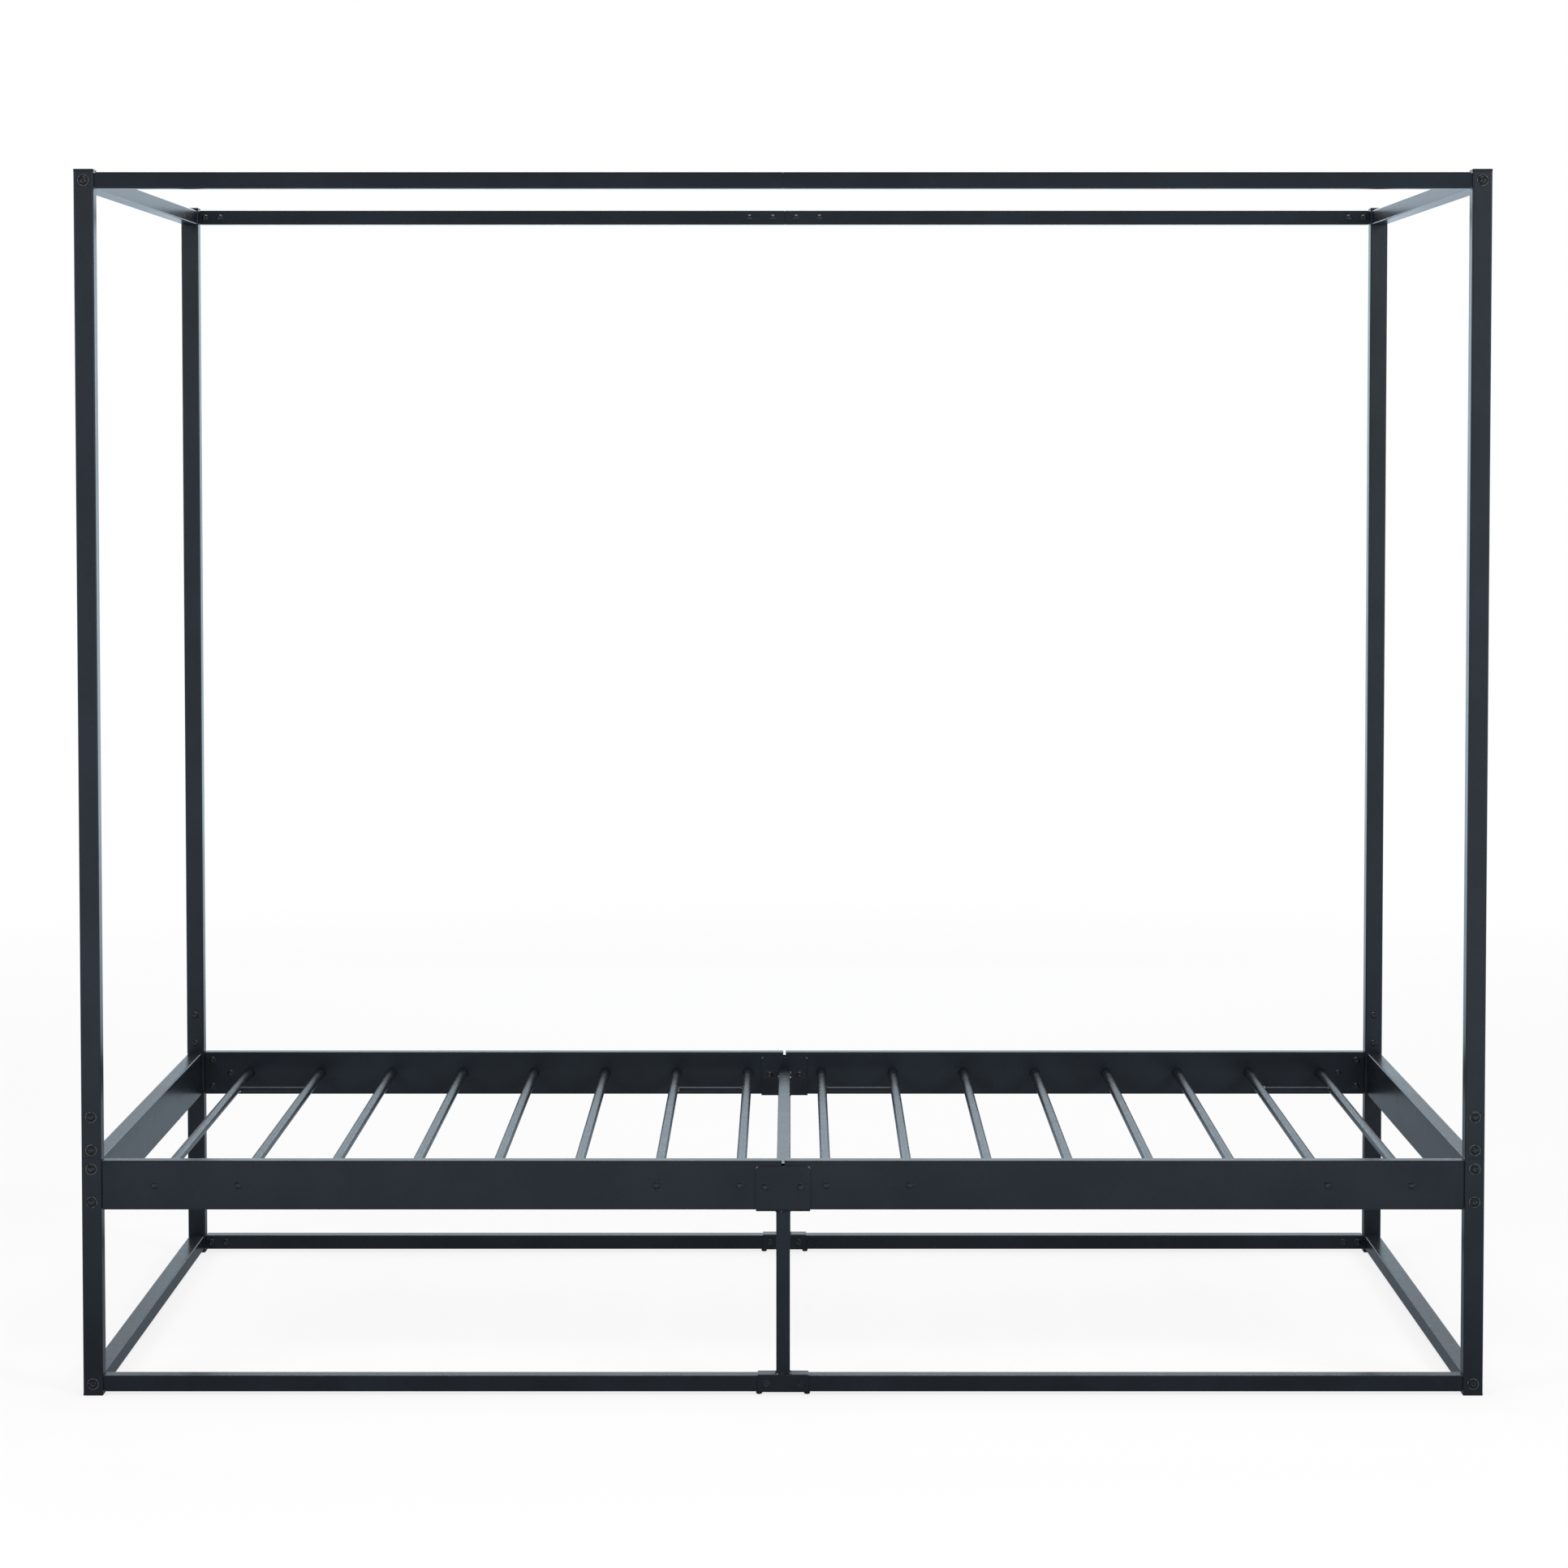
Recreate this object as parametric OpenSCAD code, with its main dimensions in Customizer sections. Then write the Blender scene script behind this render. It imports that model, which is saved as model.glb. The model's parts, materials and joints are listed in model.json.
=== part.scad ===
// Four poster canopy bed, all steel tube, with a slatted platform and a braced base.
// Millimetres. X runs along the bed, -Y is the front long side, Z is up, floor at Z = 0.

/* [Overall size] */
// Length over the legs
bed_l = 1986; // [1500:1:2300]
// Width over the legs
bed_w = 1040; // [700:1:1700]
// Height from the floor to the top of the post caps
bed_h = 1734; // [1000:1:2300]
// Height of the centre line of the slats and the wide rails
deck_z = 300.5; // [150:0.5:500]

/* [Legs and posts] */
// Outside width of the square leg and post tube
post_w = 28; // [26:0.5:45]
// Wall of the leg and post tube
post_wall = 1.5; // [0.8:0.1:2.5]
// Outside corner radius of the leg and post tube
post_r = 2.5; // [0.6:0.1:4]
// Height of the top of a leg above the top of the wide rails
leg_over_rail = 3.5; // [0.5:0.5:40]
// Thickness of the cap on top of a post
cap_t = 3; // [1.5:0.1:8]
// Thickness of the cap under a leg
foot_t = 3; // [1.5:0.1:5]
// How far a cap stands out over the tube on each side
cap_over = 0.3; // [0:0.1:1.5]
// Chamfer round the outer edge of a cap
cap_chamfer = 0.9; // [0.2:0.1:1.4]
// Depth of a cap's plug inside the tube
plug_l = 8; // [3:0.5:9]

/* [Wide rails] */
// Height of the wide side and end rails
wide_h = 70; // [60:1:110]
// Thickness of the wide rails
wide_d = 22; // [18:0.5:23]
// Wall of the wide rails
wide_wall = 1.2; // [0.8:0.1:2]
// Outside corner radius of the wide rails
wide_r = 2.2; // [0.6:0.1:3]

/* [Thin rails] */
// Height of the thin canopy and base rails
thin_h = 23; // [20:0.5:30]
// Thickness of the thin rails
thin_d = 25; // [20:0.5:26]
// Wall of the thin rails
thin_wall = 1.2; // [0.8:0.1:1.8]
// Outside corner radius of the thin rails
thin_r = 2; // [0.6:0.1:3]
// Distance from the top of a post tube down to the canopy rails
canopy_drop = 1.4; // [0.5:0.1:40]
// Free height under the base rails
base_gap = 5.5; // [4:0.5:30]

/* [Slats] */
// Outside diameter of a slat tube
slat_d = 15; // [12:0.5:20]
// Wall of a slat tube
slat_wall = 1.2; // [0.8:0.1:2]
// Distance from the middle of the bed to the first slat on each side
slat_first = 61.2; // [52:0.2:90]
// Distance from the last slat to the leg beside it
slat_last = 75; // [62:1:160]
// Length of the threaded plug in each end of a bolted slat
slat_plug_l = 10; // [6:0.5:20]
// Diameter of the rods that tie two slats into a pair
tie_d = 7; // [4:0.5:10]
// Distance from a side rail to the tie rod
tie_in = 166; // [30:1:250]

/* [Middle support] */
// Length of the clamp that joins the two halves of a side rail
clamp_l = 77; // [68:1:90]
// Sheet thickness of the clamp
clamp_t = 2; // [1:0.1:2.5]
// Distance from the top of the side rail down to the top of the clamp
clamp_drop = 8; // [2:0.5:20]
// Radius of the upper corners of the clamp
clamp_corner_r = 4; // [1:0.5:10]
// Distance of a clamp bolt from the middle of the bed
clamp_bolt_x = 25; // [18:0.5:28]
// Outside width of the square middle leg
mid_leg_w = 19.5; // [14:0.5:25]
// Wall of the middle leg
mid_leg_wall = 1.2; // [0.8:0.1:2]
// Length of the sleeve over the joint of the base rails
sleeve_l = 72; // [62:1:90]
// Sheet thickness of the sleeve
sleeve_t = 1.5; // [1:0.1:2.5]
// Distance of a sleeve bolt from the middle of the bed
sleeve_bolt_x = 24; // [18:0.5:26]
// Diameter of the glides under the base rails
glide_d = 9.5; // [7:0.5:14]
// Distance of a glide from the middle of the bed
glide_x = 34; // [30:0.5:50]
// Outside width of the square cross bar
bar_w = 19; // [12:0.5:25]
// Wall of the cross bar
bar_wall = 1.2; // [0.8:0.1:2]
// Length of the flange on each end of the cross bar
flange_l = 72; // [66:1:80]
// Height of a cross bar flange
flange_h = 17; // [14:0.5:24]
// Thickness of a cross bar flange
flange_t = 3; // [1.5:0.1:5]

/* [Joiners inside the tubes] */
// Wall of the joiner inside a leg and its post
joiner_wall = 1.5; // [1:0.1:2.5]
// Distance the joiner runs past its outermost bolts
joiner_past = 17; // [8:1:30]
// Wall of the stubs and the canopy joiners
stub_wall = 2; // [1:0.1:2.5]
// Length of a wide rail stub
wide_stub_l = 62; // [55:1:100]
// Length of a thin rail stub
thin_stub_l = 46; // [44:1:60]
// Length of a canopy joiner
canopy_joiner_l = 146; // [134:1:220]
// Thickness of the threaded plate in the end of an end rail
end_plate_t = 4; // [2:0.5:8]

/* [Fasteners] */
// Thread diameter of every bolt and screw
bolt_d = 6; // [5:0.5:6]
// Diameter of the button heads
head_d = 10.5; // [9:0.1:12]
// Height of the button heads
head_h = 3.3; // [2.4:0.1:4]
// Width across flats of the hex sockets
socket_af = 4; // [3:0.1:5]
// Depth of the hex sockets
socket_depth = 2; // [1:0.1:2.2]
// Diameter of the washers on the posts
washer_d = 16; // [12:0.5:18]
// Thickness of the washers
washer_t = 1.2; // [0.8:0.1:2]
// Width across flats of the welded nuts
nut_af = 10; // [9:0.5:10]
// Height of the welded nuts
nut_h = 5; // [3:0.5:5]
// Diameter of the barrel of a sleeve nut
barrel_d = 8; // [7.5:0.1:9]
// Length of the barrel of a sleeve nut
barrel_l = 12; // [9:0.5:14]
// Length of the short screws below the head
screw_l = 10; // [8.5:0.5:12]

/* [Bolt and screw places] */
// Height between the two bolts of a wide end rail
end_bolt_pitch = 47; // [24:1:47]
// Height of the first post bolt above the joint of leg and post
post_bolt_up = 12; // [9:0.5:30]
// Height between the two post bolts above the joint
post_bolt_pitch = 47; // [20:1:80]
// Distance of the first thin rail screw from the rail end
thin_screw_in = 9; // [8:0.5:12]
// Distance between the two thin rail screws
thin_screw_pitch = 24; // [14:0.5:24]
// Distance of the two outer wide rail screws from the rail end
wide_screw_in = 13; // [8:0.5:20]
// Height between the two outer wide rail screws
wide_screw_pitch = 44; // [24:1:44]
// Distance of the third wide rail screw from the rail end
wide_third_in = 43; // [36:0.5:48]
// Distance of the inner canopy joiner screws from the middle
joiner_screw_x = 19.2; // [10:0.2:28]
// Distance between the two canopy joiner screws of one side
joiner_screw_pitch = 38.4; // [16:0.2:38.4]

/* [Clearances] */
// Gap on each side between tubes and sheets that slide together
fit_gap = 0.3; // [0.1:0.05:0.4]
// Gap round a bolt in its hole
hole_gap = 0.3; // [0.1:0.05:0.4]
// Gap round a bolt in its thread
thread_gap = 0.1; // [0.05:0.05:0.2]
// Gap between a wide side rail and the leg
wide_end_gap = 1.2; // [0.3:0.1:4]
// Gap between a base side rail and the leg
base_end_gap = 1.5; // [0.3:0.1:3]
// Gap between a canopy side rail and the post
canopy_end_gap = 2.5; // [0.3:0.1:3]
// Gap between the two halves of a wide side rail
wide_mid_gap = 4; // [0.3:0.1:8]
// Gap between the two halves of a base side rail
base_mid_gap = 1; // [0.3:0.1:8]
// Gap between the two halves of a canopy side rail
canopy_mid_gap = 0.3; // [0.2:0.1:4]

/* [Hidden] */
$fn = 48;
graphite = [0.16, 0.17, 0.19];
slat_grey = [0.2, 0.21, 0.23];
bolt_black = [0.05, 0.05, 0.055];
cap_black = [0.08, 0.08, 0.085];

// Each half of the bed has this many slats: a pair at each end and loose ones between.
slats_per_half = 8;
slats = 2 * slats_per_half;
pair_starts = [1, slats_per_half - 1, slats_per_half + 1, slats - 1];

// Places along the bed
leg_x = bed_l / 2 - post_w / 2;
leg_in_x = bed_l / 2 - post_w;
slat_pitch = (leg_in_x - slat_last - slat_first) / (slats_per_half - 1);

// Places across the bed: both kinds of side rail are centred on the legs
rail_y = bed_w / 2 - post_w / 2;
leg_out_y = bed_w / 2;
leg_in_y = bed_w / 2 - post_w;
wide_in_y = rail_y - wide_d / 2;
wide_out_y = rail_y + wide_d / 2;
thin_in_y = rail_y - thin_d / 2;
clamp_y = wide_d / 2 + fit_gap + clamp_t;
sleeve_y = thin_d / 2 + fit_gap + sleeve_t;
flange_y = rail_y - clamp_y - flange_t;
slat_end_y = wide_out_y - wide_wall - fit_gap;

// Heights
leg_top_z = deck_z + wide_h / 2 + leg_over_rail;
post_top_z = bed_h - cap_t;
canopy_z = post_top_z - canopy_drop - thin_h / 2;
base_z = base_gap + thin_h / 2;
bar_z = deck_z + slat_d / 2 - bar_w / 2;
clamp_bottom_z = deck_z - wide_h / 2 - fit_gap - clamp_t;
clamp_top_z = deck_z + wide_h / 2 - clamp_drop;
sleeve_bottom_z = base_z - thin_h / 2 - fit_gap;
sleeve_top_z = base_z + thin_h / 2 + fit_gap + sleeve_t;
end_bolt_zs = [deck_z - end_bolt_pitch / 2, deck_z + end_bolt_pitch / 2];
post_bolt_zs = [leg_top_z + post_bolt_up, leg_top_z + post_bolt_up + post_bolt_pitch];
joiner_bottom_z = end_bolt_zs[0] - joiner_past;
joiner_top_z = post_bolt_zs[1] + joiner_past;

// Outside sizes of what slides inside the tubes
plug_w = post_w - 2 * post_wall - 2 * fit_gap;
wide_stub_d = wide_d - 2 * wide_wall - 2 * fit_gap;
wide_stub_h = wide_h - 2 * wide_wall - 2 * fit_gap;
thin_stub_d = thin_d - 2 * thin_wall - 2 * fit_gap;
thin_stub_h = thin_h - 2 * thin_wall - 2 * fit_gap;
plug_wall = 2;
inner_r = 1;

// Holes
hole_d = bolt_d + 2 * hole_gap;
thread_d = bolt_d + 2 * thread_gap;
barrel_hole_d = barrel_d + 2 * hole_gap;
slat_hole_d = slat_d + 2 * fit_gap;

// Bolts
end_bolt_l = washer_t + post_w + end_plate_t + nut_h + 2;
slat_bolt_l = wide_wall + fit_gap + slat_plug_l;
barrel_grip = 6;
head_edge = 0.8;
head_rise = head_h - head_edge;
head_r = (pow(head_d / 2, 2) + pow(head_rise, 2)) / (2 * head_rise);

// Glides
glide_stem_d = 5;
glide_stem_l = 6;
glide_edge = 1.2;

CORNERS = [["front_left", -1, -1], ["front_right", 1, -1], ["rear_left", -1, 1], ["rear_right", 1, 1]];
ENDS = [["left", -1], ["right", 1]];
SIDES = [["front", -1], ["rear", 1]];
PAIRS = [for (i = [0:3]) [str("slat_pair_", i + 1), pair_starts[i]]];
LOOSE = [for (n = [3:slats_per_half - 2], h = [0, slats_per_half]) n + h];

// ---- Shapes that repeat ----

// Rectangle with round corners, centred
module rounded_rect(w, h, r) {
    square([w - 2 * r, h], center = true);
    square([w, h - 2 * r], center = true);
    for (x = [r - w / 2, w / 2 - r], y = [r - h / 2, h / 2 - r]) translate([x, y]) circle(r);
}

// Section of a rectangular tube
module tube_section(w, h, wall, r) {
    difference() {
        rounded_rect(w, h, r);
        rounded_rect(w - 2 * wall, h - 2 * wall, max(r - wall, 0.4));
    }
}

// Section of a bent channel that opens upwards, with its lowest line at 0
module channel_section(w, h, t, r) {
    difference() {
        rounded_foot(w, h, r + t);
        translate([0, t]) rounded_foot(w - 2 * t, h, r);
    }
}

// Rectangle standing on 0 with its two lower corners rounded
module rounded_foot(w, h, r) {
    translate([0, r + 0.5]) rounded_rect(w, 2 * r + 1, r);
    translate([-w / 2, r]) square([w, h - r]);
}

// Tube along X from x0 to x1, centred on the X axis: d across, h high
module tube_x(x0, x1, d, h, wall, r) {
    translate([x0, 0, 0]) rotate([90, 0, 90]) linear_extrude(x1 - x0) tube_section(d, h, wall, r);
}

// Tube along Y, centred on the origin
module tube_y(l, w, h, wall, r) {
    rotate([90, 0, 0]) linear_extrude(l, center = true) tube_section(w, h, wall, r);
}

// Round bar or hole along Y from y0 to y1
module rod_y(y0, y1, d) {
    translate([0, y0, 0]) rotate([-90, 0, 0]) cylinder(d = d, h = y1 - y0);
}

// Copies a piece drawn in the rear right quarter to another one
module quarter(sx, sy) {
    mirror([sx < 0 ? 1 : 0, 0, 0]) mirror([0, sy < 0 ? 1 : 0, 0]) children();
}

// A piece in all four quarters
module all_quarters() {
    for (c = CORNERS) quarter(c[1], c[2]) children();
}

// Button head with a hex socket, seated on 0 and pointing up
module button_head() {
    difference() {
        intersection() {
            cylinder(d = head_d, h = head_h);
            translate([0, 0, head_h - head_r]) sphere(head_r);
        }
        translate([0, 0, head_h - socket_depth])
            cylinder(d = socket_af / cos(30), h = socket_depth + 1, $fn = 6);
    }
}

// Button head bolt seated on 0, its shank pointing down
module button_bolt(l) {
    button_head();
    translate([0, 0, -l]) cylinder(d = bolt_d, h = l + 0.2);
}

// Sleeve nut seated on 0, its barrel pointing down
module sleeve_nut() {
    difference() {
        union() {
            button_head();
            translate([0, 0, -barrel_l]) cylinder(d = barrel_d, h = barrel_l + 0.2);
        }
        translate([0, 0, -barrel_l - 1]) cylinder(d = thread_d, h = barrel_l);
    }
}

// Turns a fastener so that its head points to +Y or to -Y
module head_out() {
    rotate([-90, 0, 0]) children();
}
module head_in() {
    rotate([90, 0, 0]) children();
}

// Hex nut with a threaded bore, its axis along Y, from y = 0 inwards to +Y
module weld_nut() {
    difference() {
        rotate([-90, 0, 0]) cylinder(d = nut_af / cos(30), h = nut_h, $fn = 6);
        rod_y(-1, nut_h + 1, thread_d);
    }
}

// What a bolt and its sleeve nut need cut from everything between y_in and y_out
module through_hole(y_in, y_out) {
    rod_y(y_in - 1, y_out + 1, hole_d);
    rod_y(y_in - 1, y_in + barrel_l + 1, barrel_hole_d);
}

// ---- Places of the bolts, in the rear right quarter ----

module at_end_bolts() {
    for (z = concat(end_bolt_zs, [canopy_z, base_z])) translate([leg_x, 0, z]) children();
}
module at_post_bolts() {
    for (z = post_bolt_zs) translate([leg_x, 0, z]) children();
}
module at_clamp_bolts() {
    for (x = [-clamp_bolt_x, clamp_bolt_x]) translate([x, 0, bar_z]) children();
}
module at_sleeve_bolts() {
    for (x = [-sleeve_bolt_x, sleeve_bolt_x]) translate([x, 0, base_z]) children();
}
module at_wide_screws() {
    x0 = leg_in_x - wide_end_gap;
    for (s = [-1, 1]) translate([x0 - wide_screw_in, 0, deck_z + s * wide_screw_pitch / 2]) children();
    translate([x0 - wide_third_in, 0, deck_z]) children();
}
module at_thin_screws(end_gap, z) {
    x0 = leg_in_x - end_gap - thin_screw_in;
    for (x = [x0, x0 - thin_screw_pitch]) translate([x, 0, z]) children();
}
module at_joiner_screws() {
    for (x = [joiner_screw_x, joiner_screw_x + joiner_screw_pitch]) translate([x, 0, canopy_z]) children();
}

// Distance of a slat of one half from the middle, counted outwards from 0
function half_slat_x(i) = slat_first + i * slat_pitch;

// Place of slat n along the bed, counted from 1 at the left end
function slat_x(n) =
    n > slats_per_half ? half_slat_x(n - slats_per_half - 1) : -half_slat_x(slats_per_half - n);

// The slats of one half that are bolted
bolted = [0, 1, slats_per_half - 2, slats_per_half - 1];

// ---- Legs, posts and what joins them ----

module leg() {
    color(graphite) difference() {
        translate([leg_x, rail_y, foot_t])
            linear_extrude(leg_top_z - foot_t) tube_section(post_w, post_w, post_wall, post_r);
        at_end_bolts() rod_y(leg_in_y - 1, leg_out_y + 1, hole_d);
    }
}

module post() {
    color(graphite) difference() {
        translate([leg_x, rail_y, leg_top_z])
            linear_extrude(post_top_z - leg_top_z) tube_section(post_w, post_w, post_wall, post_r);
        at_end_bolts() rod_y(leg_in_y - 1, leg_out_y + 1, hole_d);
        at_post_bolts() through_hole(leg_in_y, leg_out_y);
    }
}

module post_joiner() {
    color(graphite) difference() {
        translate([leg_x, rail_y, joiner_bottom_z])
            linear_extrude(joiner_top_z - joiner_bottom_z) tube_section(plug_w, plug_w, joiner_wall, inner_r);
        at_end_bolts() rod_y(leg_in_y - 1, leg_out_y + 1, hole_d);
        at_post_bolts() through_hole(leg_in_y, leg_out_y);
    }
}

// Plate with a chamfered upper edge over a hollow plug that points down from 0
module tube_cap(t) {
    w = post_w + 2 * cap_over;
    intersection() {
        linear_extrude(t) rounded_rect(w, w, post_r + cap_over);
        cap_profile(w, t);
        rotate([0, 0, 90]) cap_profile(w, t);
    }
    translate([0, 0, -plug_l]) linear_extrude(plug_l + 0.2) tube_section(plug_w, plug_w, plug_wall, inner_r);
}

// Side view of a cap, with its two upper corners cut off, as a bar along Y
module cap_profile(w, t) {
    a = w / 2;
    c = cap_chamfer;
    rotate([90, 0, 0]) linear_extrude(w + 2, center = true)
        polygon([[-a, -1], [a, -1], [a, t - c], [a - c, t], [c - a, t], [-a, t - c]]);
}

module post_caps() {
    color(cap_black) all_quarters() translate([leg_x, rail_y, post_top_z]) tube_cap(cap_t);
}

module foot_caps() {
    color(cap_black) all_quarters() translate([leg_x, rail_y, foot_t]) mirror([0, 0, 1]) tube_cap(foot_t);
}

// ---- Side rails, drawn as the rear right half ----

module canopy_rail() {
    color(graphite) difference() {
        translate([0, rail_y, canopy_z])
            tube_x(canopy_mid_gap / 2, leg_in_x - canopy_end_gap, thin_d, thin_h, thin_wall, thin_r);
        at_thin_screws(canopy_end_gap, canopy_z) rod_y(thin_in_y - 1, rail_y, hole_d);
        at_joiner_screws() rod_y(thin_in_y - 1, rail_y, hole_d);
    }
}

module side_rail() {
    color(graphite) difference() {
        translate([0, rail_y, deck_z])
            tube_x(wide_mid_gap / 2, leg_in_x - wide_end_gap, wide_d, wide_h, wide_wall, wide_r);
        for (i = [0:slats_per_half - 1])
            translate([half_slat_x(i), 0, deck_z]) rod_y(wide_in_y - 1, rail_y, slat_hole_d);
        for (i = bolted) translate([half_slat_x(i), 0, deck_z]) rod_y(rail_y, wide_out_y + 1, hole_d);
        at_clamp_bolts() through_hole(flange_y, rail_y + clamp_y);
        at_wide_screws() rod_y(wide_in_y - 1, rail_y, hole_d);
    }
}

module base_rail() {
    color(graphite) difference() {
        translate([0, rail_y, base_z])
            tube_x(base_mid_gap / 2, leg_in_x - base_end_gap, thin_d, thin_h, thin_wall, thin_r);
        at_sleeve_bolts() through_hole(rail_y - sleeve_y, rail_y + sleeve_y);
        at_thin_screws(base_end_gap, base_z) rod_y(thin_in_y - 1, rail_y, hole_d);
        translate([glide_x, rail_y, base_gap - 1]) cylinder(d = glide_stem_d + 2 * fit_gap, h = thin_h / 2);
    }
}

// Stub of tube on a leg or post, which the end of a side rail slides over
module stub(l, d, h, z) {
    translate([0, rail_y, z]) tube_x(leg_in_x - l, leg_in_x, d, h, stub_wall, inner_r);
}

module wide_rail_stubs() {
    nut_y = rail_y - wide_stub_d / 2 + stub_wall;
    color(graphite) all_quarters() {
        difference() {
            stub(wide_stub_l, wide_stub_d, wide_stub_h, deck_z);
            at_wide_screws() rod_y(wide_in_y, rail_y, thread_d);
        }
        at_wide_screws() translate([0, nut_y - 0.1, 0]) weld_nut();
    }
}

module thin_rail_stubs() {
    color(graphite) all_quarters() {
        thin_stub(canopy_end_gap, canopy_z);
        thin_stub(base_end_gap, base_z);
    }
}

module thin_stub(end_gap, z) {
    nut_y = rail_y - thin_stub_d / 2 + stub_wall;
    difference() {
        stub(thin_stub_l, thin_stub_d, thin_stub_h, z);
        at_thin_screws(end_gap, z) rod_y(thin_in_y, rail_y, thread_d);
    }
    at_thin_screws(end_gap, z) translate([0, nut_y - 0.1, 0]) weld_nut();
}

// Inner tubes across the middle joints of the canopy
module canopy_joiners() {
    nut_y = rail_y - thin_stub_d / 2 + stub_wall;
    color(graphite) for (sy = [-1, 1]) quarter(1, sy) {
        difference() {
            translate([0, rail_y, canopy_z]) tube_x(
                -canopy_joiner_l / 2, canopy_joiner_l / 2, thin_stub_d, thin_stub_h, stub_wall, inner_r);
            for (sx = [-1, 1]) quarter(sx, 1) at_joiner_screws() rod_y(thin_in_y, rail_y, thread_d);
        }
        for (sx = [-1, 1]) quarter(sx, 1) at_joiner_screws() translate([0, nut_y - 0.1, 0]) weld_nut();
    }
}

// ---- End rails, drawn at the right end ----

// Tube between two legs, closed at both ends by plates with welded nuts at the heights zs
module end_rail(w, h, wall, r, z, zs) {
    color(graphite) translate([leg_x, 0, 0]) {
        difference() {
            translate([0, 0, z]) union() {
                tube_y(2 * leg_in_y, w, h, wall, r);
                for (s = [-1, 1]) translate([0, s * (leg_in_y - end_plate_t / 2), 0])
                    rotate([90, 0, 0]) linear_extrude(end_plate_t, center = true)
                        rounded_rect(w - wall, h - wall, max(r - wall / 2, 0.4));
            }
            for (bz = zs, s = [-1, 1]) translate([0, s * leg_in_y, bz])
                rod_y(-end_plate_t - 1, end_plate_t + 1, thread_d);
        }
        for (bz = zs, sy = [-1, 1]) quarter(1, sy)
            translate([0, leg_in_y - end_plate_t - nut_h + 0.1, bz]) weld_nut();
    }
}

module canopy_end_rail() {
    end_rail(thin_d, thin_h, thin_wall, thin_r, canopy_z, [canopy_z]);
}

module wide_end_rail() {
    end_rail(wide_d, wide_h, wide_wall, wide_r, deck_z, end_bolt_zs);
}

module base_end_rail() {
    end_rail(thin_d, thin_h, thin_wall, thin_r, base_z, [base_z]);
}

// ---- Middle support, drawn at the rear ----

// Bent clamp that wraps the side rail joint from below
module rail_clamp() {
    h = clamp_top_z - clamp_bottom_z;
    color(graphite) difference() {
        translate([0, rail_y, clamp_bottom_z]) intersection() {
            rotate([90, 0, 90]) linear_extrude(clamp_l, center = true)
                channel_section(2 * clamp_y, h, clamp_t, 1.5);
            rotate([90, 0, 0]) linear_extrude(2 * clamp_y + 2, center = true)
                translate([0, h]) mirror([0, 1]) rounded_foot(clamp_l, h + 1, clamp_corner_r);
        }
        at_clamp_bolts() through_hole(flange_y, rail_y + clamp_y);
    }
}

module middle_leg() {
    color(graphite) translate([0, rail_y, sleeve_top_z])
        linear_extrude(clamp_bottom_z - sleeve_top_z) tube_section(mid_leg_w, mid_leg_w, mid_leg_wall, 1.8);
}

// Bent sleeve that sits over the joint of the base rails
module base_sleeve() {
    color(graphite) difference() {
        translate([0, rail_y, sleeve_top_z]) mirror([0, 0, 1]) rotate([90, 0, 90])
            linear_extrude(sleeve_l, center = true)
                channel_section(2 * sleeve_y, sleeve_top_z - sleeve_bottom_z, sleeve_t, 1.2);
        at_sleeve_bolts() through_hole(rail_y - sleeve_y, rail_y + sleeve_y);
    }
}

module base_glides() {
    r = glide_d / 2;
    color(cap_black) all_quarters() translate([glide_x, rail_y, 0]) rotate_extrude()
        polygon([
            [0, 0], [r - glide_edge, 0], [r - 0.3, glide_edge], [r, base_gap],
            [glide_stem_d / 2, base_gap], [glide_stem_d / 2, base_gap + glide_stem_l],
            [0, base_gap + glide_stem_l]
        ]);
}

// Square bar across the bed with a bolted flange on each end
module cross_bar() {
    end_y = flange_y + flange_t;
    color(slat_grey) difference() {
        translate([0, 0, bar_z]) {
            tube_y(2 * end_y, bar_w, bar_w, bar_wall, 1.8);
            for (s = [-1, 1]) translate([0, s * (end_y - flange_t / 2), 0])
                rotate([90, 0, 0]) linear_extrude(flange_t, center = true) flange_outline();
        }
        for (s = [-1, 1]) quarter(1, s) at_clamp_bolts() through_hole(flange_y, rail_y + clamp_y);
    }
}

// Plate with half round ends
module flange_outline() {
    square([flange_l - flange_h, flange_h], center = true);
    for (s = [-1, 1]) translate([s * (flange_l - flange_h) / 2, 0]) circle(d = flange_h);
}

// ---- Slats ----

module slat_tube(x) {
    translate([x, 0, deck_z]) difference() {
        rod_y(-slat_end_y, slat_end_y, slat_d);
        rod_y(-slat_end_y - 1, slat_end_y + 1, slat_d - 2 * slat_wall);
    }
}

// Slat that drops into the rails
module loose_slat(n) {
    color(slat_grey) slat_tube(slat_x(n));
}

// Slat with a threaded plug in each end
module bolted_slat(x) {
    slat_tube(x);
    for (s = [-1, 1]) translate([x, s * (slat_end_y - slat_plug_l / 2), deck_z]) difference() {
        rod_y(-slat_plug_l / 2, slat_plug_l / 2, slat_d - slat_wall);
        rod_y(-slat_plug_l, slat_plug_l, thread_d);
    }
}

// Two bolted slats, n and the next, tied by two rods between them
module slat_pair(n) {
    color(slat_grey) {
        bolted_slat(slat_x(n));
        bolted_slat(slat_x(n + 1));
        for (s = [-1, 1]) difference() {
            translate([slat_x(n), s * (wide_in_y - tie_in), deck_z])
                rotate([0, 90, 0]) cylinder(d = tie_d, h = slat_x(n + 1) - slat_x(n));
            for (x = [slat_x(n), slat_x(n + 1)])
                translate([x, 0, deck_z]) rod_y(-slat_end_y, slat_end_y, slat_d + 2 * thread_gap);
        }
    }
}

// ---- Fasteners ----

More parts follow.
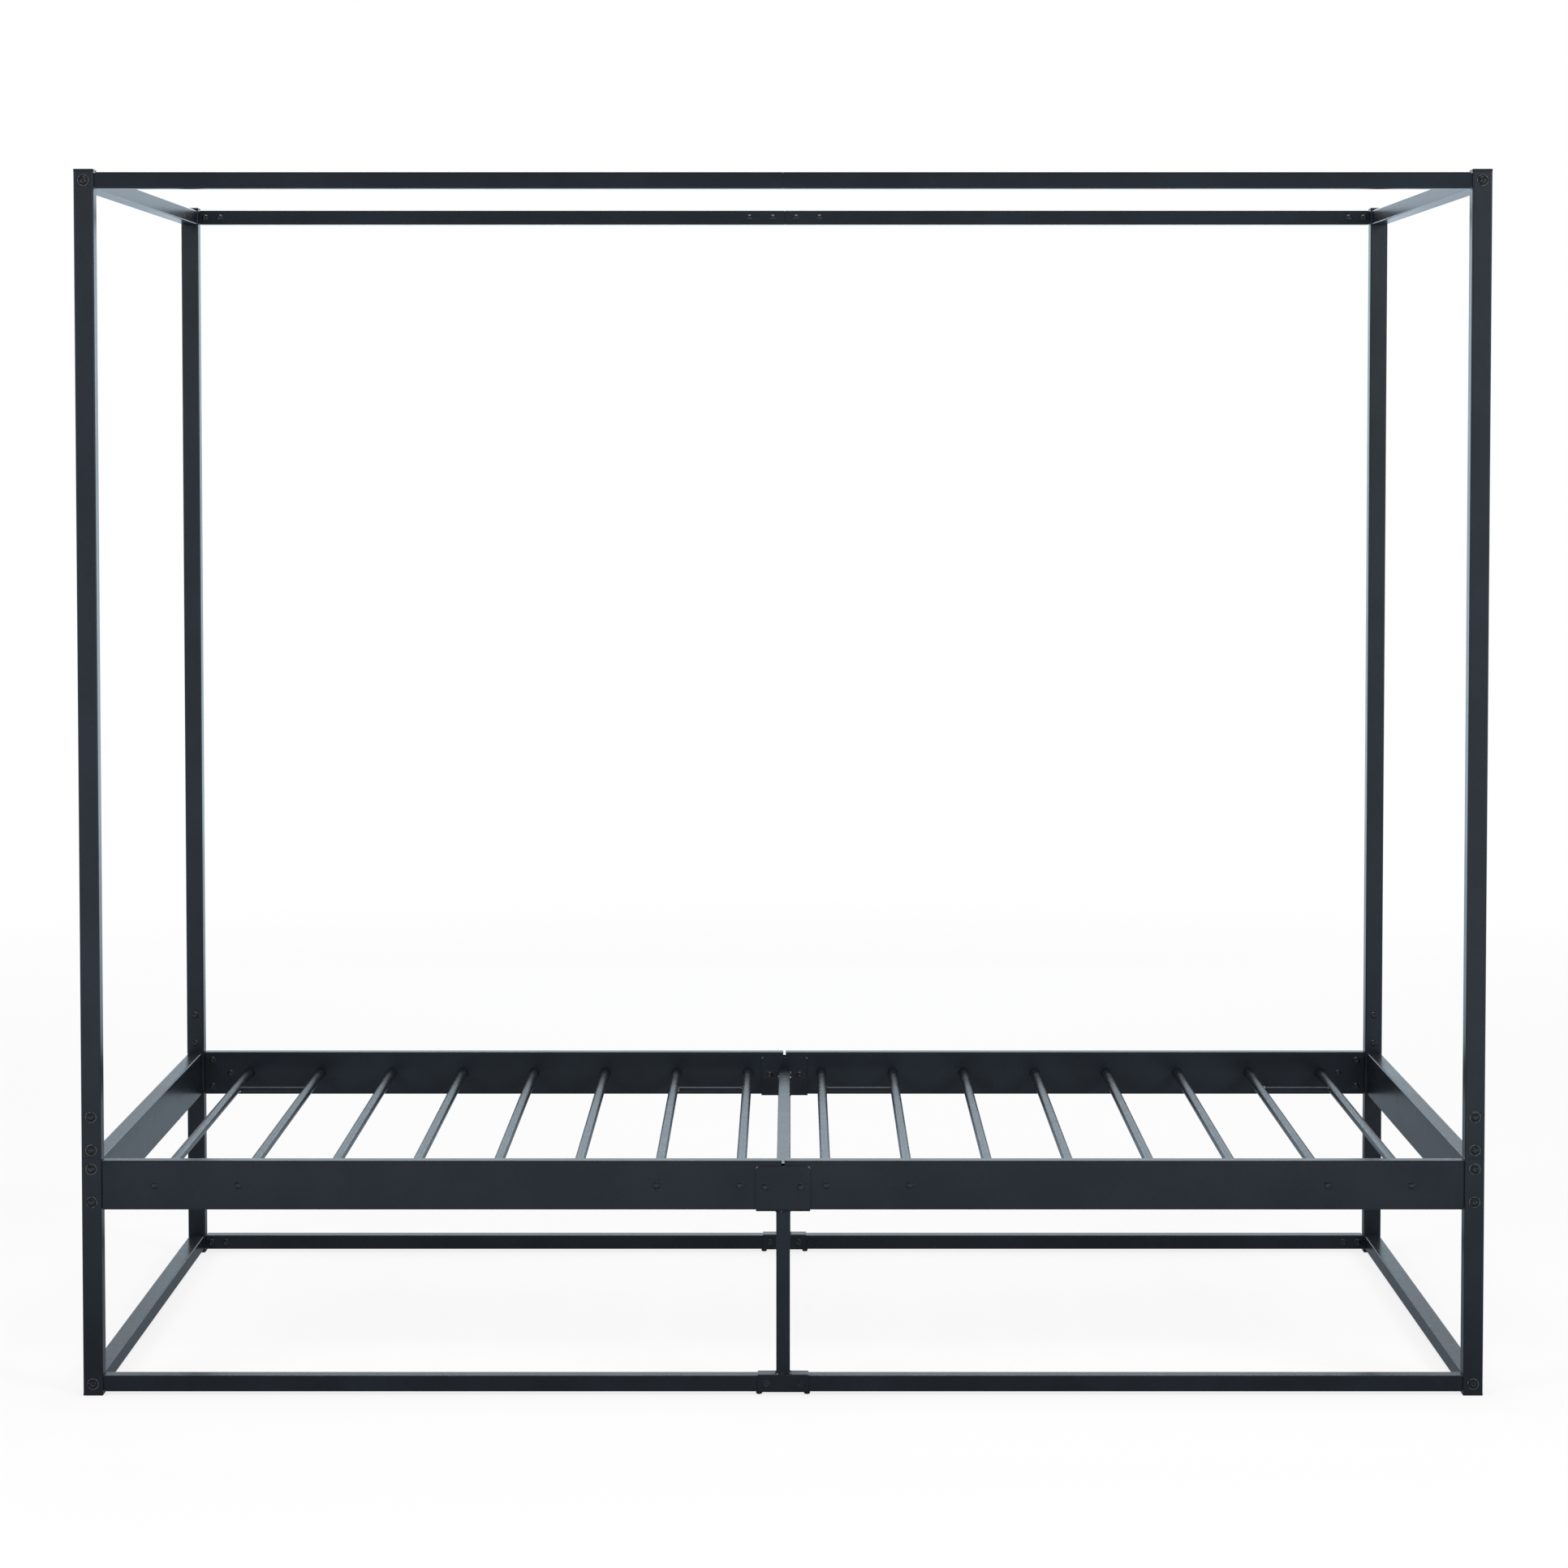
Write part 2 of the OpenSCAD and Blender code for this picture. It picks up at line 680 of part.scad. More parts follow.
// Bolts that hold the end rails through the legs and posts
module end_rail_bolts() {
    color(bolt_black) all_quarters() at_end_bolts()
        translate([0, leg_out_y + washer_t, 0]) head_out() button_bolt(end_bolt_l);
}

// One bolt through everything between y_in and y_out, up to its sleeve nut
module through_bolt(y_in, y_out) {
    translate([0, y_out, 0]) head_out() button_bolt(y_out - y_in - barrel_l + barrel_grip);
}

module through_bolts() {
    color(bolt_black) {
        all_quarters() at_post_bolts() through_bolt(leg_in_y, leg_out_y + washer_t);
        for (sy = [-1, 1]) quarter(1, sy) {
            at_clamp_bolts() through_bolt(flange_y, rail_y + clamp_y);
            at_sleeve_bolts() through_bolt(rail_y - sleeve_y, rail_y + sleeve_y);
        }
    }
}

module sleeve_nuts() {
    color(bolt_black) {
        all_quarters() at_post_bolts() translate([0, leg_in_y, 0]) head_in() sleeve_nut();
        for (sy = [-1, 1]) quarter(1, sy) {
            at_clamp_bolts() translate([0, flange_y, 0]) head_in() sleeve_nut();
            at_sleeve_bolts() translate([0, rail_y - sleeve_y, 0]) head_in() sleeve_nut();
        }
    }
}

module slat_bolts() {
    color(bolt_black) all_quarters() for (i = bolted)
        translate([half_slat_x(i), wide_out_y, deck_z]) head_out() button_bolt(slat_bolt_l);
}

// Short screws on the inner faces of the side rails
module rail_screws() {
    color(bolt_black) all_quarters() {
        at_wide_screws() translate([0, wide_in_y, 0]) head_in() button_bolt(screw_l);
        at_thin_screws(canopy_end_gap, canopy_z) translate([0, thin_in_y, 0]) head_in() button_bolt(screw_l);
        at_thin_screws(base_end_gap, base_z) translate([0, thin_in_y, 0]) head_in() button_bolt(screw_l);
        at_joiner_screws() translate([0, thin_in_y, 0]) head_in() button_bolt(screw_l);
    }
}

module washer() {
    translate([0, leg_out_y, 0]) difference() {
        rod_y(0, washer_t, washer_d);
        rod_y(-1, washer_t + 1, hole_d);
    }
}

module washers() {
    color(bolt_black) all_quarters() {
        at_end_bolts() washer();
        at_post_bolts() washer();
    }
}

// ---- The bed ----

for (c = CORNERS) {
    quarter(c[1], c[2]) leg();
    quarter(c[1], c[2]) post();
    quarter(c[1], c[2]) canopy_rail();
    quarter(c[1], c[2]) side_rail();
    quarter(c[1], c[2]) base_rail();
}
for (e = ENDS) {
    quarter(e[1], 1) canopy_end_rail();
    quarter(e[1], 1) wide_end_rail();
    quarter(e[1], 1) base_end_rail();
}
for (s = SIDES) {
    quarter(1, s[1]) rail_clamp();
    quarter(1, s[1]) middle_leg();
    quarter(1, s[1]) base_sleeve();
}
for (p = PAIRS) slat_pair(p[1]);
for (n = LOOSE) loose_slat(n);
cross_bar();
all_quarters() post_joiner();  // post_joiners
wide_rail_stubs();
thin_rail_stubs();
canopy_joiners();
post_caps();
foot_caps();
base_glides();
end_rail_bolts();
through_bolts();
sleeve_nuts();
slat_bolts();
rail_screws();
washers();
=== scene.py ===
"""Four poster canopy bed in steel tube: finishes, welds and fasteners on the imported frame.

Everything is in metres. X runs along the bed, -Y is the front long side and Z is up.
"""

import json
import math

import bmesh
import bpy
import numpy as np
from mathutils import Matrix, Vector

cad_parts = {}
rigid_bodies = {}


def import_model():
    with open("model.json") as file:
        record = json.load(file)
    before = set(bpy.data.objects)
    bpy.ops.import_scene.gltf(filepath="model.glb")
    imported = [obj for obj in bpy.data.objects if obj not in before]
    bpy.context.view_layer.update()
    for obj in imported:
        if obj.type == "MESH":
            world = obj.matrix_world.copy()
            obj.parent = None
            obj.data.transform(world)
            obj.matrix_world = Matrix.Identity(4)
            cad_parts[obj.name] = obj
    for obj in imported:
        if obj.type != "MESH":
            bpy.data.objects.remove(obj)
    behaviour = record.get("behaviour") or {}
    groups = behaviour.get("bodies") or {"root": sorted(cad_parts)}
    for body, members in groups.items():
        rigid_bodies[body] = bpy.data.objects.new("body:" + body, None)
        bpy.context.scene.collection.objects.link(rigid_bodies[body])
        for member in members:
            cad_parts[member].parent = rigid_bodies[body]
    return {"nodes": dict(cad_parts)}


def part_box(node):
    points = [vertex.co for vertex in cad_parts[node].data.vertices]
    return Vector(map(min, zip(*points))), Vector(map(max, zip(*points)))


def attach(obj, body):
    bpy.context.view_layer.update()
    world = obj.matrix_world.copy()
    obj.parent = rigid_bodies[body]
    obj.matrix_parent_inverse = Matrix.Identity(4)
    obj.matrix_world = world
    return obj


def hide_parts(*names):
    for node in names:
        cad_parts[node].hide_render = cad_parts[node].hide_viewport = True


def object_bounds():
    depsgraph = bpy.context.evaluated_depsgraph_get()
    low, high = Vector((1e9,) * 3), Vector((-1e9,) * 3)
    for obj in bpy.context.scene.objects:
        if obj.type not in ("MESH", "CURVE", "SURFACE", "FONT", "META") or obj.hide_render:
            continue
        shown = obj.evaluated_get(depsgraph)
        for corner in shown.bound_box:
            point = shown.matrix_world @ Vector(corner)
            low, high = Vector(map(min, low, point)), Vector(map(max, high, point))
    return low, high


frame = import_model()
cad_low, cad_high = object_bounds()
nodes = frame["nodes"]
mm = 0.001
weld_distance = 0.001 * mm
scene = bpy.context.scene


# ---- Node trees ----


def feed(tree, socket, value):
    """Links an input to a socket, or sets it to a plain value."""
    if isinstance(value, bpy.types.NodeSocket):
        tree.links.new(value, socket)
    else:
        socket.default_value = value


def add(tree, kind, inputs=None, **settings):
    """A new node with its settings and its inputs."""
    made = tree.nodes.new(kind)
    for key, value in settings.items():
        setattr(made, key, value)
    for key, value in (inputs or {}).items():
        feed(tree, made.inputs[key], value)
    return made


def calc(tree, operation, *values, clamp=False):
    """The result of a Math node."""
    settings = {"operation": operation, "use_clamp": clamp}
    return add(tree, "ShaderNodeMath", dict(enumerate(values)), **settings).outputs[0]


def smooth_step(tree, value, start, end):
    """0 at start, 1 at end and smooth between them; start may be the larger one."""
    values = {"Value": value, "From Min": start, "From Max": end}
    made = add(tree, "ShaderNodeMapRange", values, interpolation_type="SMOOTHSTEP")
    return made.outputs["Result"]


def noise(tree, vector, size, detail=2.0, roughness=0.5):
    """Noise whose features are about size metres across, from 0 to 1."""
    values = {"Vector": vector, "Scale": 1.0 / size, "Detail": detail, "Roughness": roughness}
    return add(tree, "ShaderNodeTexNoise", values).outputs["Fac"]


def new_group(kind, name, inputs, outputs):
    """A node group with named sockets, and its input and output nodes."""
    tree = bpy.data.node_groups.new(name, kind)
    for label, socket, value in inputs:
        made = tree.interface.new_socket(label, in_out="INPUT", socket_type=socket)
        if value is not None:
            made.default_value = value
    for label, socket in outputs:
        tree.interface.new_socket(label, in_out="OUTPUT", socket_type=socket)
    return tree, tree.nodes.new("NodeGroupInput").outputs, tree.nodes.new("NodeGroupOutput").inputs


# ---- Effects that several finishes share ----


def make_coat_grain():
    """Fine grain and orange peel of a sprayed and baked coat, as a height and as a fleck mask."""
    fleck_band = 0.52, 0.72
    tree, given, out = new_group(
        "ShaderNodeTree",
        "coat_grain",
        [
            ("Vector", "NodeSocketVector", None),
            ("Grain Size", "NodeSocketFloat", 0.0005),
            ("Peel Size", "NodeSocketFloat", 0.0022),
            ("Peel Share", "NodeSocketFloat", 0.6),
        ],
        [("Height", "NodeSocketFloat"), ("Fleck", "NodeSocketFloat")],
    )
    patterns = []
    for label, detail in (("Grain Size", 1.0), ("Peel Size", 2.0)):
        scale = calc(tree, "DIVIDE", 1.0, given[label])
        values = {"Vector": given["Vector"], "Scale": scale, "Detail": detail}
        patterns.append(add(tree, "ShaderNodeTexNoise", values).outputs["Fac"])
    grain, peel = patterns
    peel_part = calc(tree, "MULTIPLY", peel, given["Peel Share"])
    grain_share = calc(tree, "SUBTRACT", 1.0, given["Peel Share"])
    grain_part = calc(tree, "MULTIPLY", grain, grain_share)
    tree.links.new(calc(tree, "ADD", peel_part, grain_part), out["Height"])
    tree.links.new(smooth_step(tree, grain, *fleck_band), out["Fleck"])
    return tree


def make_edge_line():
    """Mask of square tube's rounded corners, painted paler as an edge highlight and rubbed
    smoother.
    """
    turned_band, patch_size, patch_band = (0.03, 0.22), 0.02, (0.35, 0.6)
    tree, given, out = new_group(
        "ShaderNodeTree",
        "edge_line",
        [("Normal", "NodeSocketVector", None), ("Vector", "NodeSocketVector", None)],
        [("Mask", "NodeSocketFloat")],
    )
    size = add(tree, "ShaderNodeVectorMath", {0: given["Normal"]}, operation="ABSOLUTE").outputs[0]
    parts = add(tree, "ShaderNodeSeparateXYZ", {0: size}).outputs
    largest = calc(tree, "MAXIMUM", calc(tree, "MAXIMUM", parts[0], parts[1]), parts[2])
    corner = smooth_step(tree, calc(tree, "SUBTRACT", 1.0, largest), *turned_band)
    broken = smooth_step(tree, noise(tree, given["Vector"], patch_size, 3.0), *patch_band)
    tree.links.new(calc(tree, "MULTIPLY", corner, broken), out["Mask"])
    return tree


def make_dust():
    """Mask of the light dust that settles on faces that look up."""
    upward_band, between_specks = (0.35, 0.95), 0.35
    cloud_size, cloud_band = 0.06, (0.3, 0.75)
    speck_size, speck_band = 0.0012, (0.45, 0.8)
    tree, given, out = new_group(
        "ShaderNodeTree",
        "dust",
        [("Normal", "NodeSocketVector", None), ("Vector", "NodeSocketVector", None)],
        [("Mask", "NodeSocketFloat")],
    )
    up = add(tree, "ShaderNodeSeparateXYZ", {0: given["Normal"]}).outputs[2]
    facing = smooth_step(tree, up, *upward_band)
    cloud = smooth_step(tree, noise(tree, given["Vector"], cloud_size, 4.0, 0.6), *cloud_band)
    speck = smooth_step(tree, noise(tree, given["Vector"], speck_size, 1.0), *speck_band)
    lying = calc(tree, "MULTIPLY", cloud, calc(tree, "ADD", speck, between_specks))
    tree.links.new(calc(tree, "MULTIPLY", facing, lying, clamp=True), out["Mask"])
    return tree


effects = {"coat_grain": make_coat_grain(), "edge_line": make_edge_line(), "dust": make_dust()}


def effect(tree, name, **inputs):
    """One of the shared effects placed in a material, with its values."""
    values = {label.replace("_", " "): value for label, value in inputs.items()}
    return add(tree, "ShaderNodeGroup", values, node_tree=effects[name]).outputs


def shade_of(colour, share=1.0):
    """A colour made lighter or darker, as a socket takes it."""
    return *(share * part for part in colour), 1.0


def mix_colour(tree, factor, first, second):
    """Two colours mixed by a factor."""
    values = {0: factor, 6: first, 7: second}
    return add(tree, "ShaderNodeMix", values, data_type="RGBA").outputs[2]


def mix_shader(tree, factor, first, second):
    """Two shaders mixed by a factor."""
    return add(tree, "ShaderNodeMixShader", {0: factor, 1: first, 2: second}).outputs[0]


def new_material(name, slot_colour):
    """An empty material with its tree and shader, and the object's own coordinates and normal."""
    made = bpy.data.materials.new(name)
    made.use_nodes = True
    made.diffuse_color = shade_of(slot_colour)
    tree = made.node_tree
    shader = tree.nodes["Principled BSDF"]
    place = add(tree, "ShaderNodeTexCoord")
    return made, tree, shader, place.outputs["Object"], place.outputs["Normal"]


# ---- Finishes ----


def painted_corner_glints(tree, normal):
    """Mask of a sheet's rounded corners whose rims face between sideways and up, for a painted
    glint.
    """
    slanted_band = 0.1, 0.3
    size = add(tree, "ShaderNodeVectorMath", {0: normal}, operation="ABSOLUTE").outputs[0]
    parts = add(tree, "ShaderNodeSeparateXYZ", {0: size}).outputs
    return smooth_step(tree, calc(tree, "MULTIPLY", parts[0], parts[2]), *slanted_band)


def spatter_glint_specks(tree, place):
    """Mask of a few small pale specks on a weld, painted as glints and shaped like bare spatter."""
    speck_size, speck_band = 0.0034, (0.62, 0.66)
    return smooth_step(tree, noise(tree, place, speck_size, 1.0), *speck_band)


def add_relief(tree, shader, height, depth):
    """Bumps of a depth in metres on the surface of a finish."""
    relief = add(tree, "ShaderNodeBump", {"Height": height, "Distance": depth, "Strength": 1.0})
    tree.links.new(relief.outputs["Normal"], shader.inputs["Normal"])


def sprayed_coat(name, colour, roughness, grain_depth=0.000008, painted_glints=None):
    """Satin powder coat: fine grain, faint clouds of tone, thin dust on top, painted corner
    highlight.
    """
    tone_shares, dust_grey = (0.82, 1.2, 2.4, 2.6), (0.30, 0.31, 0.32)
    dark, light, fleck_tone, edge_highlight_tone = (shade_of(colour, share) for share in tone_shares)
    corner_glint_grey, spatter_glint_grey = (0.62, 0.64, 0.66), (0.72, 0.74, 0.76)
    fleck_share, edge_highlight_share, dust_share = 0.22, 0.35, 0.06
    cloud_size, cloud_band, smear_size = 0.11, (0.3, 0.7), 0.035
    smear_roughness, dust_roughness, edge_roughness = 0.08, 0.06, -0.06
    made, tree, shader, place, normal = new_material(name, colour)
    grain = effect(tree, "coat_grain", Vector=place)
    edge = effect(tree, "edge_line", Normal=normal, Vector=place)["Mask"]
    dust = effect(tree, "dust", Normal=normal, Vector=place)["Mask"]
    cloud = smooth_step(tree, noise(tree, place, cloud_size, 3.0, 0.55), *cloud_band)
    tone = mix_colour(tree, cloud, dark, light)
    tone = mix_colour(tree, calc(tree, "MULTIPLY", grain["Fleck"], fleck_share), tone, fleck_tone)
    # Painted edge highlight: the rounded corners of tube are made paler.
    tone = mix_colour(tree, calc(tree, "MULTIPLY", edge, edge_highlight_share), tone, edge_highlight_tone)
    tone = mix_colour(tree, calc(tree, "MULTIPLY", dust, dust_share), tone, shade_of(dust_grey))
    if painted_glints == "corners":
        # Painted highlight: the rounded corners of the clamp are made pale like a glint.
        tone = mix_colour(tree, painted_corner_glints(tree, normal), tone, shade_of(corner_glint_grey))
    if painted_glints == "specks":
        # Painted glints: pale specks on the weld, looking like bare spatter.
        tone = mix_colour(tree, spatter_glint_specks(tree, place), tone, shade_of(spatter_glint_grey))
    tree.links.new(tone, shader.inputs["Base Color"])
    smear = noise(tree, place, smear_size, 4.0, 0.6)
    rough = calc(tree, "MULTIPLY_ADD", smear, smear_roughness, roughness - smear_roughness / 2)
    rough = calc(tree, "MULTIPLY_ADD", dust, dust_roughness, rough)
    rough = calc(tree, "MULTIPLY_ADD", edge, edge_roughness, rough)
    tree.links.new(rough, shader.inputs["Roughness"])
    add_relief(tree, shader, grain["Height"], grain_depth)
    shader.inputs["IOR"].default_value = 1.43
    return made


def black_steel(name, colour, rim_wear_and_sheen, ior=1.6):
    """Blackened steel: glossy, softly mottled, its raised edges rubbed and painted paler as a
    sheen.
    """
    mottle_size, mottle_band, dark_share, light_share = 0.003, (0.3, 0.7), 0.7, 1.6
    patch_size, patch_band = 0.004, (0.25, 0.6)
    worn_sheen_grey, worn_roughness = (0.17, 0.175, 0.18), 0.2
    rub_size, rub_roughness, polish, rub_depth = 0.0008, 0.06, 0.06, 0.000004
    made, tree, shader, place = new_material(name, colour)[:4]
    mottle = smooth_step(tree, noise(tree, place, mottle_size, 3.0), *mottle_band)
    tone = mix_colour(tree, mottle, shade_of(colour, dark_share), shade_of(colour, light_share))
    rim = add(tree, "ShaderNodeAttribute", attribute_name="rim").outputs["Fac"]
    patchy = smooth_step(tree, noise(tree, place, patch_size, 2.0), *patch_band)
    worn_and_sheen = calc(tree, "MULTIPLY", calc(tree, "MULTIPLY", rim, patchy), rim_wear_and_sheen)
    # Wear and painted sheen: the marked rims of heads and washers are made paler.
    tone = mix_colour(tree, worn_and_sheen, tone, shade_of(worn_sheen_grey))
    tree.links.new(tone, shader.inputs["Base Color"])
    rub = noise(tree, place, rub_size, 3.0, 0.6)
    rough = calc(tree, "MULTIPLY_ADD", rub, rub_roughness, polish)
    rough = calc(tree, "MULTIPLY_ADD", worn_and_sheen, worn_roughness, rough)
    tree.links.new(rough, shader.inputs["Roughness"])
    add_relief(tree, shader, rub, rub_depth)
    shader.inputs["IOR"].default_value = ior
    return made


def moulded_plastic(name, colour, roughness, grain_size):
    """Moulded plastic or rubber with the fine pitted grain of its mould."""
    wave_size, wave_share, grain_depth = 0.004, 0.2, 0.00005
    fleck_tone, fleck_roughness = shade_of(colour, 1.7), 0.1
    dust_share, dust_grey = 0.08, (0.3, 0.3, 0.3)
    made, tree, shader, place, normal = new_material(name, colour)
    sizes = {"Grain_Size": grain_size, "Peel_Size": wave_size, "Peel_Share": wave_share}
    grain = effect(tree, "coat_grain", Vector=place, **sizes)
    dust = effect(tree, "dust", Normal=normal, Vector=place)["Mask"]
    tone = mix_colour(tree, grain["Fleck"], shade_of(colour), fleck_tone)
    tone = mix_colour(tree, calc(tree, "MULTIPLY", dust, dust_share), tone, shade_of(dust_grey))
    tree.links.new(tone, shader.inputs["Base Color"])
    rough = calc(tree, "MULTIPLY_ADD", grain["Fleck"], fleck_roughness, roughness)
    tree.links.new(rough, shader.inputs["Roughness"])
    add_relief(tree, shader, grain["Height"], grain_depth)
    shader.inputs["IOR"].default_value = 1.45
    return made


coat_colour = (0.0070, 0.0094, 0.0134)
finishes = {
    "powder_coat": sprayed_coat("frame_powder_coat", coat_colour, 0.26),
    "slat_coat": sprayed_coat("slat_powder_coat", (0.0080, 0.0108, 0.0152), 0.27),
    "cap_plastic": moulded_plastic("cap_plastic", (0.009, 0.0095, 0.0105), 0.38, 0.0006),
    "glide_rubber": moulded_plastic("glide_rubber", (0.012, 0.012, 0.013), 0.6, 0.0009),
    "black_hardware": black_steel("black_bolt_steel", (0.004, 0.0042, 0.0046), 0.35),
}
# The clamps' coat has a painted highlight on its rounded corners.
clamp_coat = sprayed_coat("clamp_powder_coat", coat_colour, 0.26, painted_glints="corners")
# The welds' coat has pale specks painted on it as glints.
weld_coat = sprayed_coat("weld_powder_coat", coat_colour, 0.14, grain_depth=0.00003, painted_glints="specks")
# The washers' rims take a wide band of wear and painted sheen.
washer_steel = black_steel("black_washer_steel", (0.0035, 0.0037, 0.004), 0.6, ior=1.3)


# ---- Tubes and sheets with their edges eased ----


def merged_copy(name):
    """The mesh of a CAD node with its triangles joined and its flat faces whole again."""
    bm = bmesh.new()
    bm.from_mesh(nodes[name].data)
    bmesh.ops.remove_doubles(bm, verts=bm.verts[:], dist=weld_distance)
    flat = math.radians(0.2)
    bmesh.ops.dissolve_limit(bm, angle_limit=flat, verts=bm.verts[:], edges=bm.edges[:])
    mesh = bpy.data.meshes.new(f"coated_{name}")
    bm.to_mesh(mesh)
    bm.free()
    return mesh


def applied(piece):
    """The piece's mesh with its modifiers applied and removed."""
    bpy.context.view_layer.update()
    shown = piece.evaluated_get(bpy.context.evaluated_depsgraph_get())
    mesh = bpy.data.meshes.new_from_object(shown)
    piece.modifiers.clear()
    piece.data = mesh
    mesh.name = piece.name
    return mesh


def place_piece(piece, slot_name, replaced=(), finish=None):
    """Gives a finished piece the coat of its slot and its body, and hides the CAD nodes that it
    stands for.
    """
    piece.data.materials.clear()
    piece.data.materials.append(finish or finishes[slot_name])
    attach(piece, "root")
    if replaced:
        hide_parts(*replaced)


def ease_edges(name, width, finish=None):
    """Replaces a CAD node by its own shape with the sharp edges rounded by width."""
    sharp_corner, sharp_crease = math.radians(40), math.radians(35)
    slot_name = nodes[name].data.materials[0].name
    piece = bpy.data.objects.new(f"coated_{name}", merged_copy(name))
    scene.collection.objects.link(piece)
    ease = piece.modifiers.new("ease", "BEVEL")
    ease.width, ease.segments, ease.use_clamp_overlap = width, 2, False
    ease.limit_method, ease.angle_limit = "ANGLE", sharp_corner
    mesh = applied(piece)
    mesh.shade_smooth()
    mesh.set_sharp_from_angle(angle=sharp_crease)
    level = piece.modifiers.new("level", "WEIGHTED_NORMAL")
    level.keep_sharp = True
    applied(piece)
    place_piece(piece, slot_name, (name,), finish)


corners = [f"{side}_{end}" for side in ("front", "rear") for end in ("left", "right")]
tube_edge, sheet_edge, cap_edge = 0.4 * mm, 0.5 * mm, 0.25 * mm
for kind in ("leg", "post", "canopy_rail", "side_rail", "base_rail"):
    for corner in corners:
        ease_edges(f"{kind}_{corner}", tube_edge)
for kind in ("canopy_end_rail", "wide_end_rail", "base_end_rail"):
    for end in ("left", "right"):
        ease_edges(f"{kind}_{end}", tube_edge)
for side in ("front", "rear"):
    ease_edges(f"rail_clamp_{side}", sheet_edge, clamp_coat)
    ease_edges(f"middle_leg_{side}", tube_edge)
    ease_edges(f"base_sleeve_{side}", sheet_edge)
ease_edges("cross_bar", tube_edge)
ease_edges("post_caps", cap_edge)
ease_edges("foot_caps", cap_edge)


# ---- Fasteners and welds grown by node trees ----


def by_ring(tree, ring, values):
    """The value of the ring that a point belongs to."""
    made = add(tree, "GeometryNodeIndexSwitch", data_type="FLOAT")
    while len(made.index_switch_items) < len(values):
        made.index_switch_items.new()
    tree.links.new(ring, made.inputs[0])
    for socket, value in zip(made.inputs[1:], values):
        feed(tree, socket, value)
    return made.outputs[0]


def turned_part(tree, rings, segments, hex_rings=(), rim_rings=()):
    """A part turned round Z from rings of (radius, height).

    Some rings may be hexagons across flats; some are marked as rims, rubbed and painted as a sheen.
    """
    grid = add(
        tree,
        "GeometryNodeMeshGrid",
        {"Size X": 1.0, "Size Y": 1.0, "Vertices X": len(rings), "Vertices Y": segments + 1},
    )
    at = add(tree, "GeometryNodeInputPosition").outputs[0]
    across = add(tree, "ShaderNodeSeparateXYZ", {0: at}).outputs
    row = calc(tree, "MULTIPLY", calc(tree, "ADD", across[0], 0.5), len(rings) - 1.0)
    ring = calc(tree, "ROUND", row)
    angle = calc(tree, "MULTIPLY", across[1], math.tau)
    radius = by_ring(tree, ring, [r for r, _ in rings])
    if hex_rings:
        sixth, half = math.tau / 6, math.tau / 12
        past_corner = calc(tree, "FLOORED_MODULO", calc(tree, "ADD", angle, half), sixth)
        from_flat = calc(tree, "SUBTRACT", past_corner, half)
        corner_reach = calc(tree, "DIVIDE", 1.0, calc(tree, "COSINE", from_flat))
        stretch = calc(tree, "SUBTRACT", corner_reach, 1.0)
        is_hex = by_ring(tree, ring, [float(i in hex_rings) for i in range(len(rings))])
        radius = calc(tree, "MULTIPLY", radius, calc(tree, "MULTIPLY_ADD", stretch, is_hex, 1.0))
    place = add(
        tree,
        "ShaderNodeCombineXYZ",
        {
            0: calc(tree, "MULTIPLY", radius, calc(tree, "COSINE", angle)),
            1: calc(tree, "MULTIPLY", radius, calc(tree, "SINE", angle)),
            2: by_ring(tree, ring, [h for _, h in rings]),
        },
    ).outputs[0]
    marked = add(
        tree,
        "GeometryNodeStoreNamedAttribute",
        {
            "Geometry": grid.outputs["Mesh"],
            "Name": "rim",
            "Value": by_ring(tree, ring, [float(i in rim_rings) for i in range(len(rings))]),
        },
        data_type="FLOAT",
    ).outputs[0]
    turned = add(tree, "GeometryNodeSetPosition", {"Geometry": marked, "Position": place})
    closed = add(
        tree,
        "GeometryNodeMergeByDistance",
        {"Geometry": turned.outputs[0], "Distance": weld_distance},
    )
    return add(tree, "GeometryNodeFlipFaces", {"Mesh": closed.outputs[0]}).outputs[0]


def shaded_by_angle(tree, geometry, degrees):
    """Smooth shading that keeps edges sharper than degrees."""
    smooth = add(tree, "GeometryNodeSetShadeSmooth", {"Geometry": geometry, "Shade Smooth": True})
    angle = add(tree, "GeometryNodeInputMeshEdgeAngle").outputs[0]
    sharp = calc(tree, "GREATER_THAN", angle, math.radians(degrees))
    creased = add(
        tree,
        "GeometryNodeSetShadeSmooth",
        {"Geometry": smooth.outputs[0], "Selection": sharp, "Shade Smooth": False},
        domain="EDGE",
    )
    return creased.outputs[0]


def stood_on_points(tree, given, part):
    """A part set on every point, turned to face -Y or +Y as the point says, and spun at random."""
    turn = add(tree, "GeometryNodeInputNamedAttribute", {"Name": "facing"}).outputs[0]
    lean = calc(tree, "MULTIPLY", turn, -math.pi / 2)
    tilt = add(tree, "ShaderNodeCombineXYZ", {0: lean}).outputs[0]
    stood = add(
        tree,
        "GeometryNodeInstanceOnPoints",
        {"Points": given["Geometry"], "Instance": part, "Rotation": tilt},
    )
    spin = add(tree, "FunctionNodeRandomValue", {2: 0.0, 3: math.tau, "Seed": given["Seed"]})
    about = add(tree, "ShaderNodeCombineXYZ", {2: spin.outputs[1]}).outputs[0]
    spun = add(
        tree,
        "GeometryNodeRotateInstances",
        {"Instances": stood.outputs[0], "Rotation": about, "Local Space": True},
    )
    return spun.outputs[0]


def close_tree(tree, out, geometry, finish):
    """Real geometry with its material, as the tree's result."""
    real = add(tree, "GeometryNodeRealizeInstances", {"Geometry": geometry}).outputs[0]
    coated = add(tree, "GeometryNodeSetMaterial", {"Geometry": real, "Material": finish}).outputs[0]
    tree.links.new(coated, out["Geometry"])


